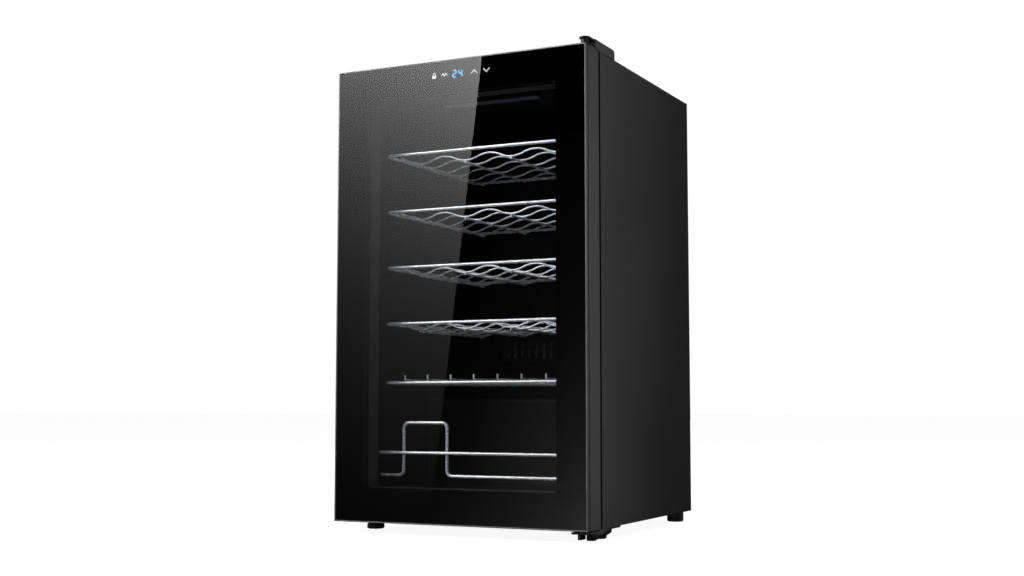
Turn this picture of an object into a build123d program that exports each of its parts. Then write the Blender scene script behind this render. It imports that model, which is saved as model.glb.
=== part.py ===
"""Free-standing compressor wine cooler with a glass door and five wire shelves.

Frame: X runs right (the door is hinged on +X), Y runs back, Z runs up. The origin is on
the floor, under the middle of the cooler. All sizes are millimetres.
"""
from build123d import *
import math
import os

os.makedirs("parts", exist_ok=True)

# ---------------------------------------------------------------- driving dimensions
width = 430.0
depth = 480.0
height = 745.0
foot_height = 17.0
hinge_cover_height = 16.0
door_thickness = 49.0
gasket_gap = 6.0
rear_space = 24.0
sheet = 1.0
base_sheet = 1.2
liner_wall = 2.0

half_width = width / 2
front = -depth / 2
back = depth / 2
body_low = foot_height
body_top = height - hinge_cover_height
door_back = front + door_thickness
cabinet_front = door_back + gasket_gap
cabinet_back = back - rear_space
floor_top = body_low + base_sheet

# Cavity of the inner liner, with the raised step that makes room for the compressor
cavity_half = 168.0
cavity_low = 67.0
cavity_top = 681.0
cavity_back = 168.0
step_front = -25.0
step_top = 209.0
cavity_corner = 8.0

# Compressor bay, open at the back
bay_front = 25.0
bay_top = 172.0

# Front flanges around the cavity
flange_half = 200.0
flange_low = 40.0
flange_top = body_top - 15.0

# Door
window_half = 165.0
window_low = 70.0
window_top = 677.0
glass_thickness = 4.0
print_thickness = 0.3
trim_width = 2.0
trim_depth = glass_thickness + print_thickness
pane_gap = 12.0
inner_pane_half = 180.0
inner_pane_margin = 15.0
frame_front = front + trim_depth
spacer_back = front + glass_thickness + pane_gap
inner_pane_back = spacer_back + glass_thickness
frame_wall = 3.0
control_height = 706.0

# Door pivot
pivot_x = 203.0
pivot_y = -215.0
pin_diameter = 6.0
running_clearance = 0.05

# Shelves
shelf_heights = (599.0, 507.0, 417.0, 327.0)
flat_shelf_height = 233.0
shelf_front = -178.0
shelf_back = 128.0
rail_half = 161.0
rail_wire = 5.0
rack_wire = 3.0
weld_gap = 0.05
bottle_pitch = 82.0
wave_height = 4.5
wave_middle = -3.0
loop_width = 40.0
loop_corner = 3.0

# Fan
fan_size = 80.0
fan_height = 590.0
fan_front = 141.0
fan_depth = 25.0


# ---------------------------------------------------------------- shared shapes
def facing_front(y):
    """A sketch plane that faces the user, at depth y, with X right and Z up."""
    return Plane.XZ.offset(-y)


def block(x_range, y_range, z_range, mode=Mode.ADD):
    """A box between two X, two Y and two Z values."""
    ranges = (x_range, y_range, z_range)
    middle = tuple((low + high) / 2 for low, high in ranges)
    with Locations(middle):
        Box(*(high - low for low, high in ranges), mode=mode)


def rod(start, end, diameter, mode=Mode.ADD):
    """A round rod from one point to another."""
    run = Vector(*end) - Vector(*start)
    with BuildSketch(Plane(origin=start, z_dir=run)) as section:
        Circle(diameter / 2)
    extrude(section.sketch, amount=run.length, mode=mode)


def bent_tube(points, bend, diameter, closed=False):
    """A round wire or tube of straight runs joined by arcs."""
    with BuildLine() as path:
        FilletPolyline(*points, radius=bend, close=closed)
    with BuildSketch(Plane(origin=path.line @ 0, z_dir=path.line % 0)) as section:
        Circle(diameter / 2)
    sweep(section.sketch, path=path.line)


def ring(y_range, outer_x, outer_z, inner_x, inner_z, mode=Mode.ADD):
    """A rectangular frame that faces the user, between two depths."""
    with BuildSketch(facing_front(y_range[0])) as outline:
        with Locations((0, sum(outer_z) / 2)):
            Rectangle(2 * outer_x, outer_z[1] - outer_z[0])
        with Locations((0, sum(inner_z) / 2)):
            Rectangle(2 * inner_x, inner_z[1] - inner_z[0], mode=Mode.SUBTRACT)
    extrude(outline.sketch, amount=y_range[0] - y_range[1], mode=mode)


def save(name, builder):
    """Label a finished piece and write it under its own name."""
    builder.part.label = name
    export_step(builder.part, f"parts/{name}.step")


# ---------------------------------------------------------------- cavity forms
def cavity_profile(wall):
    """The cavity seen from the side, grown outwards by a wall thickness."""
    Polyline(
        (cabinet_front, cavity_low - wall),
        (step_front + wall, cavity_low - wall),
        (step_front + wall, step_top - wall),
        (cavity_back + wall, step_top - wall),
        (cavity_back + wall, cavity_top + wall),
        (cabinet_front, cavity_top + wall),
        close=True,
    )


with BuildPart() as cavity_inside:
    with BuildSketch(Plane.YZ):
        with BuildLine():
            cavity_profile(0)
        make_face()
    extrude(amount=cavity_half, both=True)
    fillet(
        cavity_inside.edges().filter_by(lambda edge: edge.center().Y > cabinet_front + 1),
        radius=cavity_corner,
    )

with BuildPart() as cavity_outside:
    with BuildSketch(Plane.YZ):
        with BuildLine():
            cavity_profile(liner_wall)
        make_face()
    extrude(amount=cavity_half + liner_wall, both=True)
    fillet(
        cavity_outside.edges().filter_by(lambda edge: edge.center().Y > cabinet_front + 1),
        radius=cavity_corner,
    )

# ---------------------------------------------------------------- places shared by several pieces
front_feet = ((-193.0, -152.0), (193.0, -152.0))
rear_foot_spots = ((-195.0, 189.0), (195.0, 189.0))
foot_stud = 8.0
foot_nut_height = 6.8

top_screw_spots = tuple((201.0, y) for y in (-172.0, -156.0, -140.0))
bottom_screw_spots = ((203.0, -176.0), (189.0, -176.0), (203.0, -130.0), (187.0, -130.0))
hinge_screw = 4.0
nut_plate = 3.0
bottom_plate_top = body_low
bottom_plate = 3.0

rear_screw_spots = tuple((x, z) for x in (-205.0, 205.0) for z in (185.0, 365.0, 545.0, 720.0))
rear_screw = 3.0

compressor_x = -60.0
compressor_y = 118.0
compressor_radius = 62.0
compressor_spots = tuple(
    (compressor_x + dx, compressor_y + dy) for dx in (-64.0, 64.0) for dy in (-46.0, 46.0)
)
drain_spot = (compressor_x, 150.0)
drain_diameter = 10.0
drain_hole = 10.3

line_x = 118.0
evaporator_inlet_height = 300.0
evaporator_outlet_height = 480.0
line_hole = 10.0
line_diameter = 6.0
line_joint_y = 200.0
rear_line_y = 221.0

# ---------------------------------------------------------------- cabinet shell
with BuildPart() as outer_wrapper:
    # Folded steel: two sides and the top, open at the bottom
    with BuildSketch(facing_front(cabinet_front)) as wrapper_profile:
        with Locations((0, (body_low + body_top) / 2)):
            Rectangle(width, body_top - body_low)
        fillet(wrapper_profile.vertices().group_by(Axis.Y)[-1], radius=3 * sheet)
        with Locations((0, (body_low + body_top - sheet) / 2)):
            Rectangle(width - 2 * sheet, body_top - body_low - sheet, mode=Mode.SUBTRACT)
    extrude(amount=cabinet_front - (cabinet_back - sheet))
    # Lips folded in around the front
    with BuildSketch(facing_front(cabinet_front)):
        with Locations((0, (body_low + body_top - sheet) / 2)):
            Rectangle(width - sheet, body_top - body_low - sheet)
        with Locations((0, (body_low + flange_top) / 2)):
            Rectangle(2 * flange_half, flange_top - body_low, mode=Mode.SUBTRACT)
    extrude(amount=-sheet)
    for x, y in top_screw_spots:
        rod((x, y, body_top - 2 * sheet), (x, y, body_top + sheet), hinge_screw, Mode.SUBTRACT)
    # The bottom corners of the lips end on the base pan
    block((-half_width + sheet, half_width - sheet), (cabinet_front, cabinet_front + sheet),
          (body_low, floor_top), Mode.SUBTRACT)
save("outer_wrapper", outer_wrapper)

with BuildPart() as base_pan:
    block((-half_width + sheet, half_width - sheet), (cabinet_front, cabinet_back - sheet),
          (body_low, floor_top))
    for x, y in front_feet:
        rod((x, y, body_low - 1), (x, y, floor_top + 1), foot_stud + 4 * running_clearance, Mode.SUBTRACT)
    for x, y in rear_foot_spots:
        rod((x, y, body_low - 1), (x, y, floor_top + 1), foot_stud, Mode.SUBTRACT)
    for x, y in bottom_screw_spots:
        rod((x, y, body_low - 1), (x, y, floor_top + 1), hinge_screw, Mode.SUBTRACT)
    # Air slots beside the compressor
    with BuildSketch(Plane.XY.offset(body_low)):
        with Locations((150, 90)):
            with GridLocations(0, 12, 1, 7):
                SlotOverall(60, 5)
    extrude(amount=base_sheet, mode=Mode.SUBTRACT)
save("base_pan", base_pan)

with BuildPart() as front_strip:
    block((-flange_half, flange_half), (cabinet_front, cabinet_front + sheet), (floor_top, flange_low))
save("front_strip", front_strip)

with BuildPart() as rear_panel:
    block((-half_width, half_width), (cabinet_back - sheet, cabinet_back), (bay_top, body_top))
    for x, z in rear_screw_spots:
        rod((x, cabinet_back - 2, z), (x, cabinet_back + 1, z), rear_screw, Mode.SUBTRACT)
    for z in (evaporator_inlet_height, evaporator_outlet_height):
        rod((line_x, cabinet_back - 2, z), (line_x, cabinet_back + 1, z), line_hole, Mode.SUBTRACT)
save("rear_panel", rear_panel)

with BuildPart() as bay_panel:
    # Bent sheet that closes the foam off from the compressor bay: its front wall and its roof
    block((-half_width + sheet, half_width - sheet), (bay_front - sheet, bay_front), (floor_top, bay_top + sheet))
    block((-half_width + sheet, half_width - sheet), (bay_front, cabinet_back - sheet), (bay_top, bay_top + sheet))
    rod((*drain_spot, bay_top - 1), (*drain_spot, bay_top + 2), drain_hole, Mode.SUBTRACT)
save("bay_panel", bay_panel)

with BuildPart() as inner_liner:
    add(cavity_outside.part)
    # Flange that lies on the front of the cabinet, where the gasket seals
    block((-flange_half, flange_half), (cabinet_front, cabinet_front + liner_wall), (flange_low, flange_top))
    add(cavity_inside.part, mode=Mode.SUBTRACT)
    # Moulded runners: a ledge under each shelf rail and a hold-down above it
    runner_depth = 7.0
    runner_root = 0.5
    for rail_height in (*shelf_heights, flat_shelf_height):
        ledge_top = rail_height - rail_wire / 2 - weld_gap
        for side in (-1, 1):
            x_range = sorted((side * (cavity_half - runner_depth), side * (cavity_half + runner_root)))
            block(x_range, (-160, 150), (ledge_top - 8, ledge_top))
            block(x_range, (-150, 110), (rail_height + 10, rail_height + 15))
    rod((*drain_spot, step_top - 4), (*drain_spot, step_top + 1), drain_hole, Mode.SUBTRACT)
    for z in (evaporator_inlet_height, evaporator_outlet_height):
        rod((line_x, cavity_back - 1, z), (line_x, cavity_back + 4, z), line_hole, Mode.SUBTRACT)
save("inner_liner", inner_liner)

with BuildPart() as insulation_foam:
    block((-half_width + sheet, half_width - sheet), (cabinet_front + liner_wall, cabinet_back - sheet),
          (floor_top, body_top - sheet))
    add(cavity_outside.part, mode=Mode.SUBTRACT)
    block((-half_width, half_width), (bay_front - sheet, cabinet_back), (body_low, bay_top + sheet),
          Mode.SUBTRACT)
    # Pockets for the foot nuts and the two hinge nut plates
    block((-203, -183), (-162, -142), (floor_top, 36), Mode.SUBTRACT)
    block((182, 213), (cabinet_front, -122), (floor_top, 36), Mode.SUBTRACT)
    block((189, 213), (-181, -131), (body_top - sheet - 8, body_top), Mode.SUBTRACT)
    rod((*drain_spot, bay_top), (*drain_spot, step_top), drain_hole, Mode.SUBTRACT)
    for z in (evaporator_inlet_height, evaporator_outlet_height):
        rod((line_x, cavity_back, z), (line_x, cabinet_back, z), line_hole, Mode.SUBTRACT)
    for x, z in rear_screw_spots:
        rod((x, cabinet_back - 12, z), (x, cabinet_back, z), rear_screw, Mode.SUBTRACT)
save("insulation_foam", insulation_foam)

with BuildPart() as rear_panel_screws:
    for x, z in rear_screw_spots:
        rod((x, cabinet_back - 12, z), (x, cabinet_back, z), rear_screw)
        rod((x, cabinet_back, z), (x, cabinet_back + 2, z), 7)
save("rear_panel_screws", rear_panel_screws)

with BuildPart() as wall_spacers:
    # Two hollow plastic stand-offs that keep the cooler off the wall
    for x in (-150, 150):
        block((x - 14, x + 14), (cabinet_back, back), (700, 724))
        block((x - 11.5, x + 11.5), (cabinet_back, back - 3), (702.5, 721.5), Mode.SUBTRACT)
save("wall_spacers", wall_spacers)

# ---------------------------------------------------------------- feet
def turned_foot(x, y):
    """A round pad with a chamfered rim, on a threaded stud."""
    with BuildSketch(Plane.XZ.offset(-y)) as half_profile:
        with BuildLine():
            Polyline((x, 0), (x + 12.5, 0), (x + 14, 1.5), (x + 14, 7), (x + 12, 9),
                     (x + foot_stud / 2, 9), (x + foot_stud / 2, 32), (x, 32), close=True)
        make_face()
    revolve(half_profile.sketch, axis=Axis((x, y, 0), (0, 0, 1)))


for foot_name, (foot_x, foot_y) in zip(("left_front_foot", "right_front_foot"), front_feet):
    with BuildPart() as front_foot:
        turned_foot(foot_x, foot_y)
    save(foot_name, front_foot)

with BuildPart() as foot_nuts:
    with BuildSketch(Plane.XY.offset(floor_top)):
        with Locations(*front_feet):
            RegularPolygon(radius=6.5, side_count=6, major_radius=False)
            Circle(foot_stud / 2 + running_clearance, mode=Mode.SUBTRACT)
    extrude(amount=foot_nut_height)
save("foot_nuts", foot_nuts)

with BuildPart() as rear_feet:
    for x, y in rear_foot_spots:
        rod((x, y, 0), (x, y, body_low), 28)
        rod((x, y, body_low), (x, y, 24), foot_stud)
    chamfer(rear_feet.edges().filter_by(GeomType.CIRCLE).group_by(Axis.Z)[0], length=1.5)
save("rear_feet", rear_feet)

# ---------------------------------------------------------------- hinges
hinge_half = 8.3
hinge_plate = 2.5
cap_top = body_top + 15.0
cap_low = cap_top - hinge_plate

with BuildPart() as top_hinge_bracket:
    # Foot on the cabinet, riser, and a plate that reaches forward over the door
    block((pivot_x - hinge_half, pivot_x + hinge_half), (-180, -130), (body_top, body_top + hinge_plate))
    block((pivot_x - hinge_half, pivot_x + hinge_half), (-180 - hinge_plate, -180), (body_top, cap_top))
    block((pivot_x - hinge_half, pivot_x + hinge_half), (pivot_y, -180), (cap_low, cap_top))
    rod((pivot_x, pivot_y, cap_low), (pivot_x, pivot_y, cap_top), 2 * hinge_half)
    rod((pivot_x, pivot_y, cap_low - 1), (pivot_x, pivot_y, cap_top + 1), pin_diameter, Mode.SUBTRACT)
    for x, y in top_screw_spots:
        rod((x, y, body_top - 1), (x, y, body_top + 4), hinge_screw, Mode.SUBTRACT)
save("top_hinge_bracket", top_hinge_bracket)

with BuildPart() as bottom_hinge_bracket:
    # Joggled plate: under the cabinet, then lower where it reaches under the door
    plate_low = bottom_plate_top - bottom_plate
    door_drop = 2.5
    with BuildSketch(Plane.YZ.offset(183)):
        with BuildLine():
            Polyline((-109, bottom_plate_top), (-186, bottom_plate_top), (-189, bottom_plate_top - door_drop),
                     (-226, bottom_plate_top - door_drop), (-226, plate_low - door_drop),
                     (-188, plate_low - door_drop), (-185, plate_low), (-109, plate_low), close=True)
        make_face()
    extrude(amount=30)
    # Side flange, turned down along the cabinet
    with BuildSketch(Plane.YZ.offset(210.5)):
        with BuildLine():
            Polyline((-144, plate_low + 1.5), (-184, plate_low + 1.5), (-190, plate_low - 1),
                     (-225, plate_low - 1), (-216, 4.5), (-204, 3), (-180, 4), (-152, 8), (-144, 10), close=True)
        make_face()
    extrude(amount=2.5)
    # Stop lug and boss at the front edge
    block((188, 193), (-214, -196), (2.5, plate_low - 1))
    rod((pivot_x, -199, 1.2), (pivot_x, -199, plate_low - 1), 14)
    rod((pivot_x, pivot_y, 5), (pivot_x, pivot_y, body_low), pin_diameter, Mode.SUBTRACT)
    rod((*front_feet[1], 5), (*front_feet[1], body_low + 1), foot_stud + 2, Mode.SUBTRACT)
    for x, y in bottom_screw_spots:
        rod((x, y, 5), (x, y, body_low + 1), hinge_screw, Mode.SUBTRACT)
save("bottom_hinge_bracket", bottom_hinge_bracket)

bush_depth = 12.0
bush_bore = pin_diameter + 2 * running_clearance
bush_shank = 10.0
top_bush_low = body_top - bush_depth
bottom_bush_top = body_low + bush_depth
bottom_pin_low = bottom_plate_top - bottom_plate - door_drop

with BuildPart() as hinge_pins:
    rod((pivot_x, pivot_y, top_bush_low + 2), (pivot_x, pivot_y, cap_top), pin_diameter)
    rod((pivot_x, pivot_y, bottom_pin_low), (pivot_x, pivot_y, bottom_bush_top - 2), pin_diameter)
save("hinge_pins", hinge_pins)

with BuildPart() as hinge_nut_plates:
    block((190, 212), (-180, -132), (body_top - sheet - nut_plate, body_top - sheet))
    block((183, 212), (-182, -123), (floor_top, floor_top + nut_plate))
    for x, y in top_screw_spots:
        rod((x, y, body_top - 10), (x, y, body_top), hinge_screw, Mode.SUBTRACT)
    for x, y in bottom_screw_spots:
        rod((x, y, body_low), (x, y, body_low + 10), hinge_screw, Mode.SUBTRACT)
    rod((*front_feet[1], body_low), (*front_feet[1], body_low + 10), 17, Mode.SUBTRACT)
save("hinge_nut_plates", hinge_nut_plates)

with BuildPart() as hinge_screws:
    screw_head = 8.0
    for x, y in top_screw_spots:
        rod((x, y, body_top - 7), (x, y, body_top + hinge_plate), hinge_screw)
        rod((x, y, body_top + hinge_plate), (x, y, body_top + hinge_plate + 3), screw_head)
    for x, y in bottom_screw_spots:
        rod((x, y, plate_low), (x, y, floor_top + 6), hinge_screw)
        rod((x, y, plate_low - 2.5), (x, y, plate_low), screw_head)
save("hinge_screws", hinge_screws)

with BuildPart() as top_hinge_cover:
    cover_wall = 1.5
    cover_front = -196.0
    cover_back = -119.0
    door_clearance = 1.0
    block((190, 213), (cover_front, cover_back), (body_top, height))
    cover_edges = top_hinge_cover.edges()
    rear_top = cover_edges.filter_by(Axis.X).group_by(Axis.Y)[-1].sort_by(Axis.Z)[-1]
    fillet(rear_top, radius=7)
    fillet(top_hinge_cover.edges().filter_by(Axis.Z), radius=2)
    block((190 + cover_wall, 213 - cover_wall), (cover_front + cover_wall, cover_back - cover_wall - 5),
          (body_top, cap_top), Mode.SUBTRACT)
    # Slot for the hinge plate in the front wall, and clearance over the moving door
    block((pivot_x - hinge_half - 0.3, pivot_x + hinge_half + 0.3), (cover_front - 1, cover_front + 3),
          (cap_low - 0.3, cap_top), Mode.SUBTRACT)
    block((189, 214), (cover_front - 1, cabinet_front), (body_top - 1, body_top + door_clearance),
          Mode.SUBTRACT)
save("top_hinge_cover", top_hinge_cover)

# ---------------------------------------------------------------- cold air: evaporator and fan
cover_half = 130.0
cover_low = 265.0
cover_top = 660.0
cover_face = 138.0
cover_skin = 2.0

with BuildPart() as evaporator_cover:
    block((-cover_half, cover_half), (cover_face, cavity_back), (cover_low, cover_top))
    fillet(evaporator_cover.edges().filter_by(Axis.Y), radius=8)
    block((-cover_half + cover_skin, cover_half - cover_skin), (cover_face + cover_skin, cavity_back),
          (cover_low + cover_skin, cover_top - cover_skin), Mode.SUBTRACT)
    # Return-air slots at the bottom and a round grille in front of the fan
    with BuildSketch(facing_front(cover_face)):
        with Locations((0, cover_low + 30)):
            with GridLocations(14, 0, 15, 1):
                SlotOverall(30, 5, rotation=90)
        with Locations((0, fan_height)):
            with PolarLocations(22, 12):
                SlotOverall(20, 6)
    extrude(amount=-cover_skin, mode=Mode.SUBTRACT)
save("evaporator_cover", evaporator_cover)

with BuildPart() as evaporator_plate:
    block((-118, 108), (158, 159.5), (280, 500))
    with BuildSketch(facing_front(158)):
        with Locations((-5, 390)):
            with GridLocations(200, 190, 2, 2):
                Circle(2.5)
    extrude(amount=-1.5, mode=Mode.SUBTRACT)
save("evaporator_plate", evaporator_plate)

with BuildPart() as evaporator_tube:
    tube_y = 158 - line_diameter / 2 - weld_gap
    tube_left = -106.0
    tube_right = 98.0
    run_heights = [evaporator_inlet_height + 45 * step for step in range(5)]
    tube_points = [(line_x, line_joint_y, run_heights[0]), (line_x, tube_y, run_heights[0])]
    for index in range(3):
        side = tube_left if index % 2 == 0 else tube_right
        tube_points += [(side, tube_y, run_heights[index]), (side, tube_y, run_heights[index + 1])]
    tube_points += [(line_x, tube_y, run_heights[3]), (line_x, tube_y, evaporator_outlet_height)]
    tube_points += [(line_x, line_joint_y, evaporator_outlet_height)]
    bent_tube(tube_points, 12, line_diameter)
save("evaporator_tube", evaporator_tube)

with BuildPart() as fan_frame:
    with BuildSketch(facing_front(fan_front)):
        with Locations((0, fan_height)):
            RectangleRounded(fan_size, fan_size, 4)
            Circle(fan_size / 2 - 2, mode=Mode.SUBTRACT)
            with GridLocations(fan_size - 9, fan_size - 9, 2, 2):
                Circle(2.2, mode=Mode.SUBTRACT)
    extrude(amount=-fan_depth)
    # Motor seat at the back, held by four struts
    with BuildSketch(facing_front(fan_front + fan_depth - 3)):
        with Locations((0, fan_height)):
            Circle(15)
            Rectangle(fan_size - 2, 4)
            Rectangle(4, fan_size - 2)
    extrude(amount=-3)
    rod((0, fan_front + 8, fan_height), (0, fan_front + fan_depth - 3, fan_height), 4)
save("fan_frame", fan_frame)

with BuildPart() as fan_rotor:
    hub_radius = 13.0
    rotor_front = fan_front + 3
    hub_back = fan_front + fan_depth - 5
    rod((0, rotor_front, fan_height), (0, hub_back, fan_height), 2 * hub_radius)
    rod((0, rotor_front + 2, fan_height), (0, hub_back, fan_height), 2 * hub_radius - 4, Mode.SUBTRACT)
    rod((0, rotor_front, fan_height), (0, hub_back - 4, fan_height), 8)
    rod((0, rotor_front + 4, fan_height), (0, hub_back, fan_height), 4 + 2 * running_clearance, Mode.SUBTRACT)
    # Seven pitched blades
    blade_count = 7
    blade_length = fan_size / 2 - 4 - hub_radius
    for turn in range(blade_count):
        spin = Rotation(0, 360 * turn / blade_count, 0)
        blade_place = Location((0, (rotor_front + hub_back) / 2, fan_height)) * spin
        with Locations(blade_place * Location((hub_radius + blade_length / 2, 0, 0), (38, 0, 0))):
            Box(blade_length + 1, 1.6, 19)
save("fan_rotor", fan_rotor)

with BuildPart() as temperature_probe:
    block((-100, -76), (cover_face - 8, cover_face), (456, 468))
    fillet(temperature_probe.edges().filter_by(Axis.Y), radius=2.5)
save("temperature_probe", temperature_probe)

# ---------------------------------------------------------------- interior light
lamp_left = -60.0
lamp_right = 106.0
lamp_front = -178.0
lamp_back = -154.0
lamp_low = 672.5

with BuildPart() as light_housing:
    block((lamp_left, lamp_right), (lamp_front, lamp_back), (lamp_low, cavity_top))
    block((lamp_left + 1.2, lamp_right - 1.2), (lamp_front + 1.2, lamp_back - 1.2), (lamp_low, cavity_top - 2),
          Mode.SUBTRACT)
save("light_housing", light_housing)

with BuildPart() as light_lens:
    block((lamp_left + 1.2, lamp_right - 1.2), (lamp_front + 1.2, lamp_back - 1.2), (lamp_low, lamp_low + 1.5))
save("light_lens", light_lens)


# ---------------------------------------------------------------- wire racks
def rack_frame(rail_height):
    """The outer rail of a rack: one wire bent into a rounded rectangle."""
    corner = [(-rail_half, shelf_front), (rail_half, shelf_front), (rail_half, shelf_back), (-rail_half, shelf_back)]
    bent_tube([(x, y, rail_height) for x, y in corner], 12, rail_wire, closed=True)


def wave_knots():
    """Where one wavy wire changes from arc to arc, as (x, z), from its left end to its middle."""
    quarter = bottle_pitch / 4
    end_radius = 8.0
    slope = 2 * math.atan(wave_height / quarter)
    end_height = rail_wire / 2 + rack_wire / 2 + weld_gap
    flat_drop = end_radius * (1 - math.cos(slope))
    flat_run = end_radius * math.sin(slope)
    straight_drop = end_height - flat_drop - wave_middle
    first_turn = -7 * quarter
    straight_left = first_turn - straight_drop / math.tan(slope)
    return [
        (straight_left - flat_run, end_height),
        (straight_left, wave_middle + straight_drop),
        (first_turn, wave_middle),
        (-5 * quarter, wave_middle),
        (-3 * quarter, wave_middle),
        (-quarter, wave_middle),
    ]


def wavy_loop(middle_y, rail_height):
    """Two wavy wires of one closed loop, whose short ends lie along the side rails."""
    half_gap = loop_width / 2
    left_half = wave_knots()
    knots = left_half + [(-x, z) for x, z in reversed(left_half)]
    front_wire = [(x, middle_y - half_gap, rail_height + z) for x, z in knots]
    back_wire = [(x, middle_y + half_gap, rail_height + z) for x, z in reversed(knots)]
    straight_runs = (1, len(knots) - 3)
    with BuildLine() as path:
        for wire, heading in ((front_wire, 1), (back_wire, -1)):
            tangent = Vector(heading, 0, 0)
            for index in range(len(wire) - 1):
                if index in straight_runs:
                    edge = Line(wire[index], wire[index + 1])
                else:
                    edge = TangentArc(wire[index], wire[index + 1], tangent=tangent)
                tangent = edge % 1
            # A tight corner, the short end and another corner lead to the other wire
            other = back_wire if heading == 1 else front_wire
            outwards = Vector(heading, 0, 0)
            across = Vector(0, heading, 0)
            first_corner = Vector(*wire[-1]) + loop_corner * (outwards + across)
            second_corner = Vector(*other[0]) + loop_corner * (outwards - across)
            TangentArc(wire[-1], first_corner, tangent=outwards)
            Line(first_corner, second_corner)
            TangentArc(second_corner, other[0], tangent=across)
    with BuildSketch(Plane(origin=path.line @ 0, z_dir=path.line % 0)) as section:
        Circle(rack_wire / 2)
    sweep(section.sketch, path=path.line)


def make_wavy_shelf(rail_height):
    """A cradle shelf: rail, three wavy loops for the bottles and four stringers under them."""
    loop_middles = (-110.0, -20.0, 70.0)
    stringer_reach = loop_width / 2 + rack_wire
    with BuildPart() as shelf:
        rack_frame(rail_height)
        for middle_y in loop_middles:
            wavy_loop(middle_y, rail_height)
        stringer_height = rail_height + wave_middle - wave_height - rack_wire - weld_gap
        for x in (-1.5 * bottle_pitch, -0.5 * bottle_pitch, 0.5 * bottle_pitch, 1.5 * bottle_pitch):
            rod((x, loop_middles[0] - stringer_reach, stringer_height),
                (x, loop_middles[-1] + stringer_reach, stringer_height), rack_wire)
    return shelf


for shelf_number, rail_height in enumerate(shelf_heights, start=1):
    save(f"wire_shelf_{shelf_number}", make_wavy_shelf(rail_height))

with BuildPart() as wire_shelf_5:
    rack_frame(flat_shelf_height)
    runner_height = flat_shelf_height + rail_wire / 2 + rack_wire / 2 + weld_gap
    nub_top = runner_height + 8
    for index in range(-3, 4):
        x = index * bottle_pitch / 2
        bent_tube([(x, shelf_back + 1, runner_height), (x, shelf_front - 1, runner_height),
                   (x, shelf_front - 1, nub_top)], 2.4, rack_wire)
    for y in (-90.0, 40.0):
        rod((-150, y, flat_shelf_height - 0.5), (150, y, flat_shelf_height - 0.5), 4)
save("wire_shelf_5", wire_shelf_5)

with BuildPart() as bottle_guard:
    # Straight bar and, behind it, a wire that rises to a square hump under a bottle's neck
    guard_y = -180.0
    guard_end = cavity_half - 0.1
    rod((-guard_end, guard_y, 123), (guard_end, guard_y, 123), rail_wire)
    hump_y = guard_y + rail_wire + weld_gap
    bent_tube([(-guard_end, hump_y, 87.5), (-127, hump_y, 87.5), (-127, hump_y, 170), (-49, hump_y, 170),
               (-49, hump_y, 87.5), (guard_end, hump_y, 87.5)], 9, rail_wire)
save("bottle_guard", bottle_guard)

# ---------------------------------------------------------------- refrigeration
with BuildPart() as compressor_shell:
    # Two drawn steel cups, welded at a flange, on a plate with four ears
    with BuildSketch(Plane.XZ.offset(-compressor_y)):
        with BuildLine():
            dome = FilletPolyline(
                (compressor_x, 36), (compressor_x + compressor_radius - 4, 36),
                (compressor_x + compressor_radius - 4, 158), (compressor_x, 158),
                radius=26,
            )
            Line(dome @ 1, dome @ 0)
        make_face()
        with Locations((compressor_x + compressor_radius / 2, 100)):
            Rectangle(compressor_radius, 5)
    revolve(axis=Axis((compressor_x, compressor_y, 0), (0, 0, 1)))
    with BuildSketch(Plane.XY.offset(33)):
        with Locations((compressor_x, compressor_y)):
            RectangleRounded(148, 112, 12)
        with Locations(*compressor_spots):
            Circle(7.15, mode=Mode.SUBTRACT)
    extrude(amount=4)
    # Stubs for the suction and discharge lines
    rod((compressor_x, compressor_y, 115), (compressor_x + 68, compressor_y, 115), 10)
    rod((compressor_x, compressor_y, 115), (compressor_x - 68, compressor_y, 115), 10)
save("compressor_shell", compressor_shell)

with BuildPart() as compressor_grommets:
    for x, y in compressor_spots:
        rod((x, y, floor_top), (x, y, 33), 18)
        rod((x, y, 33), (x, y, 38), 14)
        rod((x, y, floor_top), (x, y, 38), 6, Mode.SUBTRACT)
save("compressor_grommets", compressor_grommets)

with BuildPart() as compressor_bolts:
    for x, y in compressor_spots:
        rod((x, y, floor_top), (x, y, 38), 6)
        rod((x, y, 38), (x, y, 39.5), 15)
        with BuildSketch(Plane.XY.offset(39.5)):
            with Locations((x, y)):
                RegularPolygon(radius=5, side_count=6, major_radius=False)
        extrude(amount=4)
save("compressor_bolts", compressor_bolts)

with BuildPart() as relay_cover:
    block((4, 34), (92, 144), (52, 102))
    fillet(relay_cover.edges().filter_by(Axis.X), radius=5)
    block((4, 32), (94, 142), (54, 100), Mode.SUBTRACT)
save("relay_cover", relay_cover)

with BuildPart() as drip_tray:
    with BuildSketch(Plane.XY.offset(158.2)):
        with Locations((compressor_x, compressor_y + 10)):
            RectangleRounded(112, 96, 10)
    extrude(amount=9)
    with BuildSketch(Plane.XY.offset(159.7)):
        with Locations((compressor_x, compressor_y + 10)):
            RectangleRounded(109, 93, 8.5)
    extrude(amount=9, mode=Mode.SUBTRACT)
save("drip_tray", drip_tray)

with BuildPart() as drain_tube:
    rod((*drain_spot, 163), (*drain_spot, step_top - 0.5), drain_diameter)
    rod((*drain_spot, 163), (*drain_spot, step_top), drain_diameter - 3, Mode.SUBTRACT)
save("drain_tube", drain_tube)

condenser_y = 232.0
condenser_tube_size = 4.8
condenser_half = 175.0
condenser_top = 650.0
condenser_pitch = 40.0
condenser_runs = 11
condenser_low = condenser_top - (condenser_runs - 1) * condenser_pitch
joint_x = 178.0
side_x = 195.0

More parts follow.
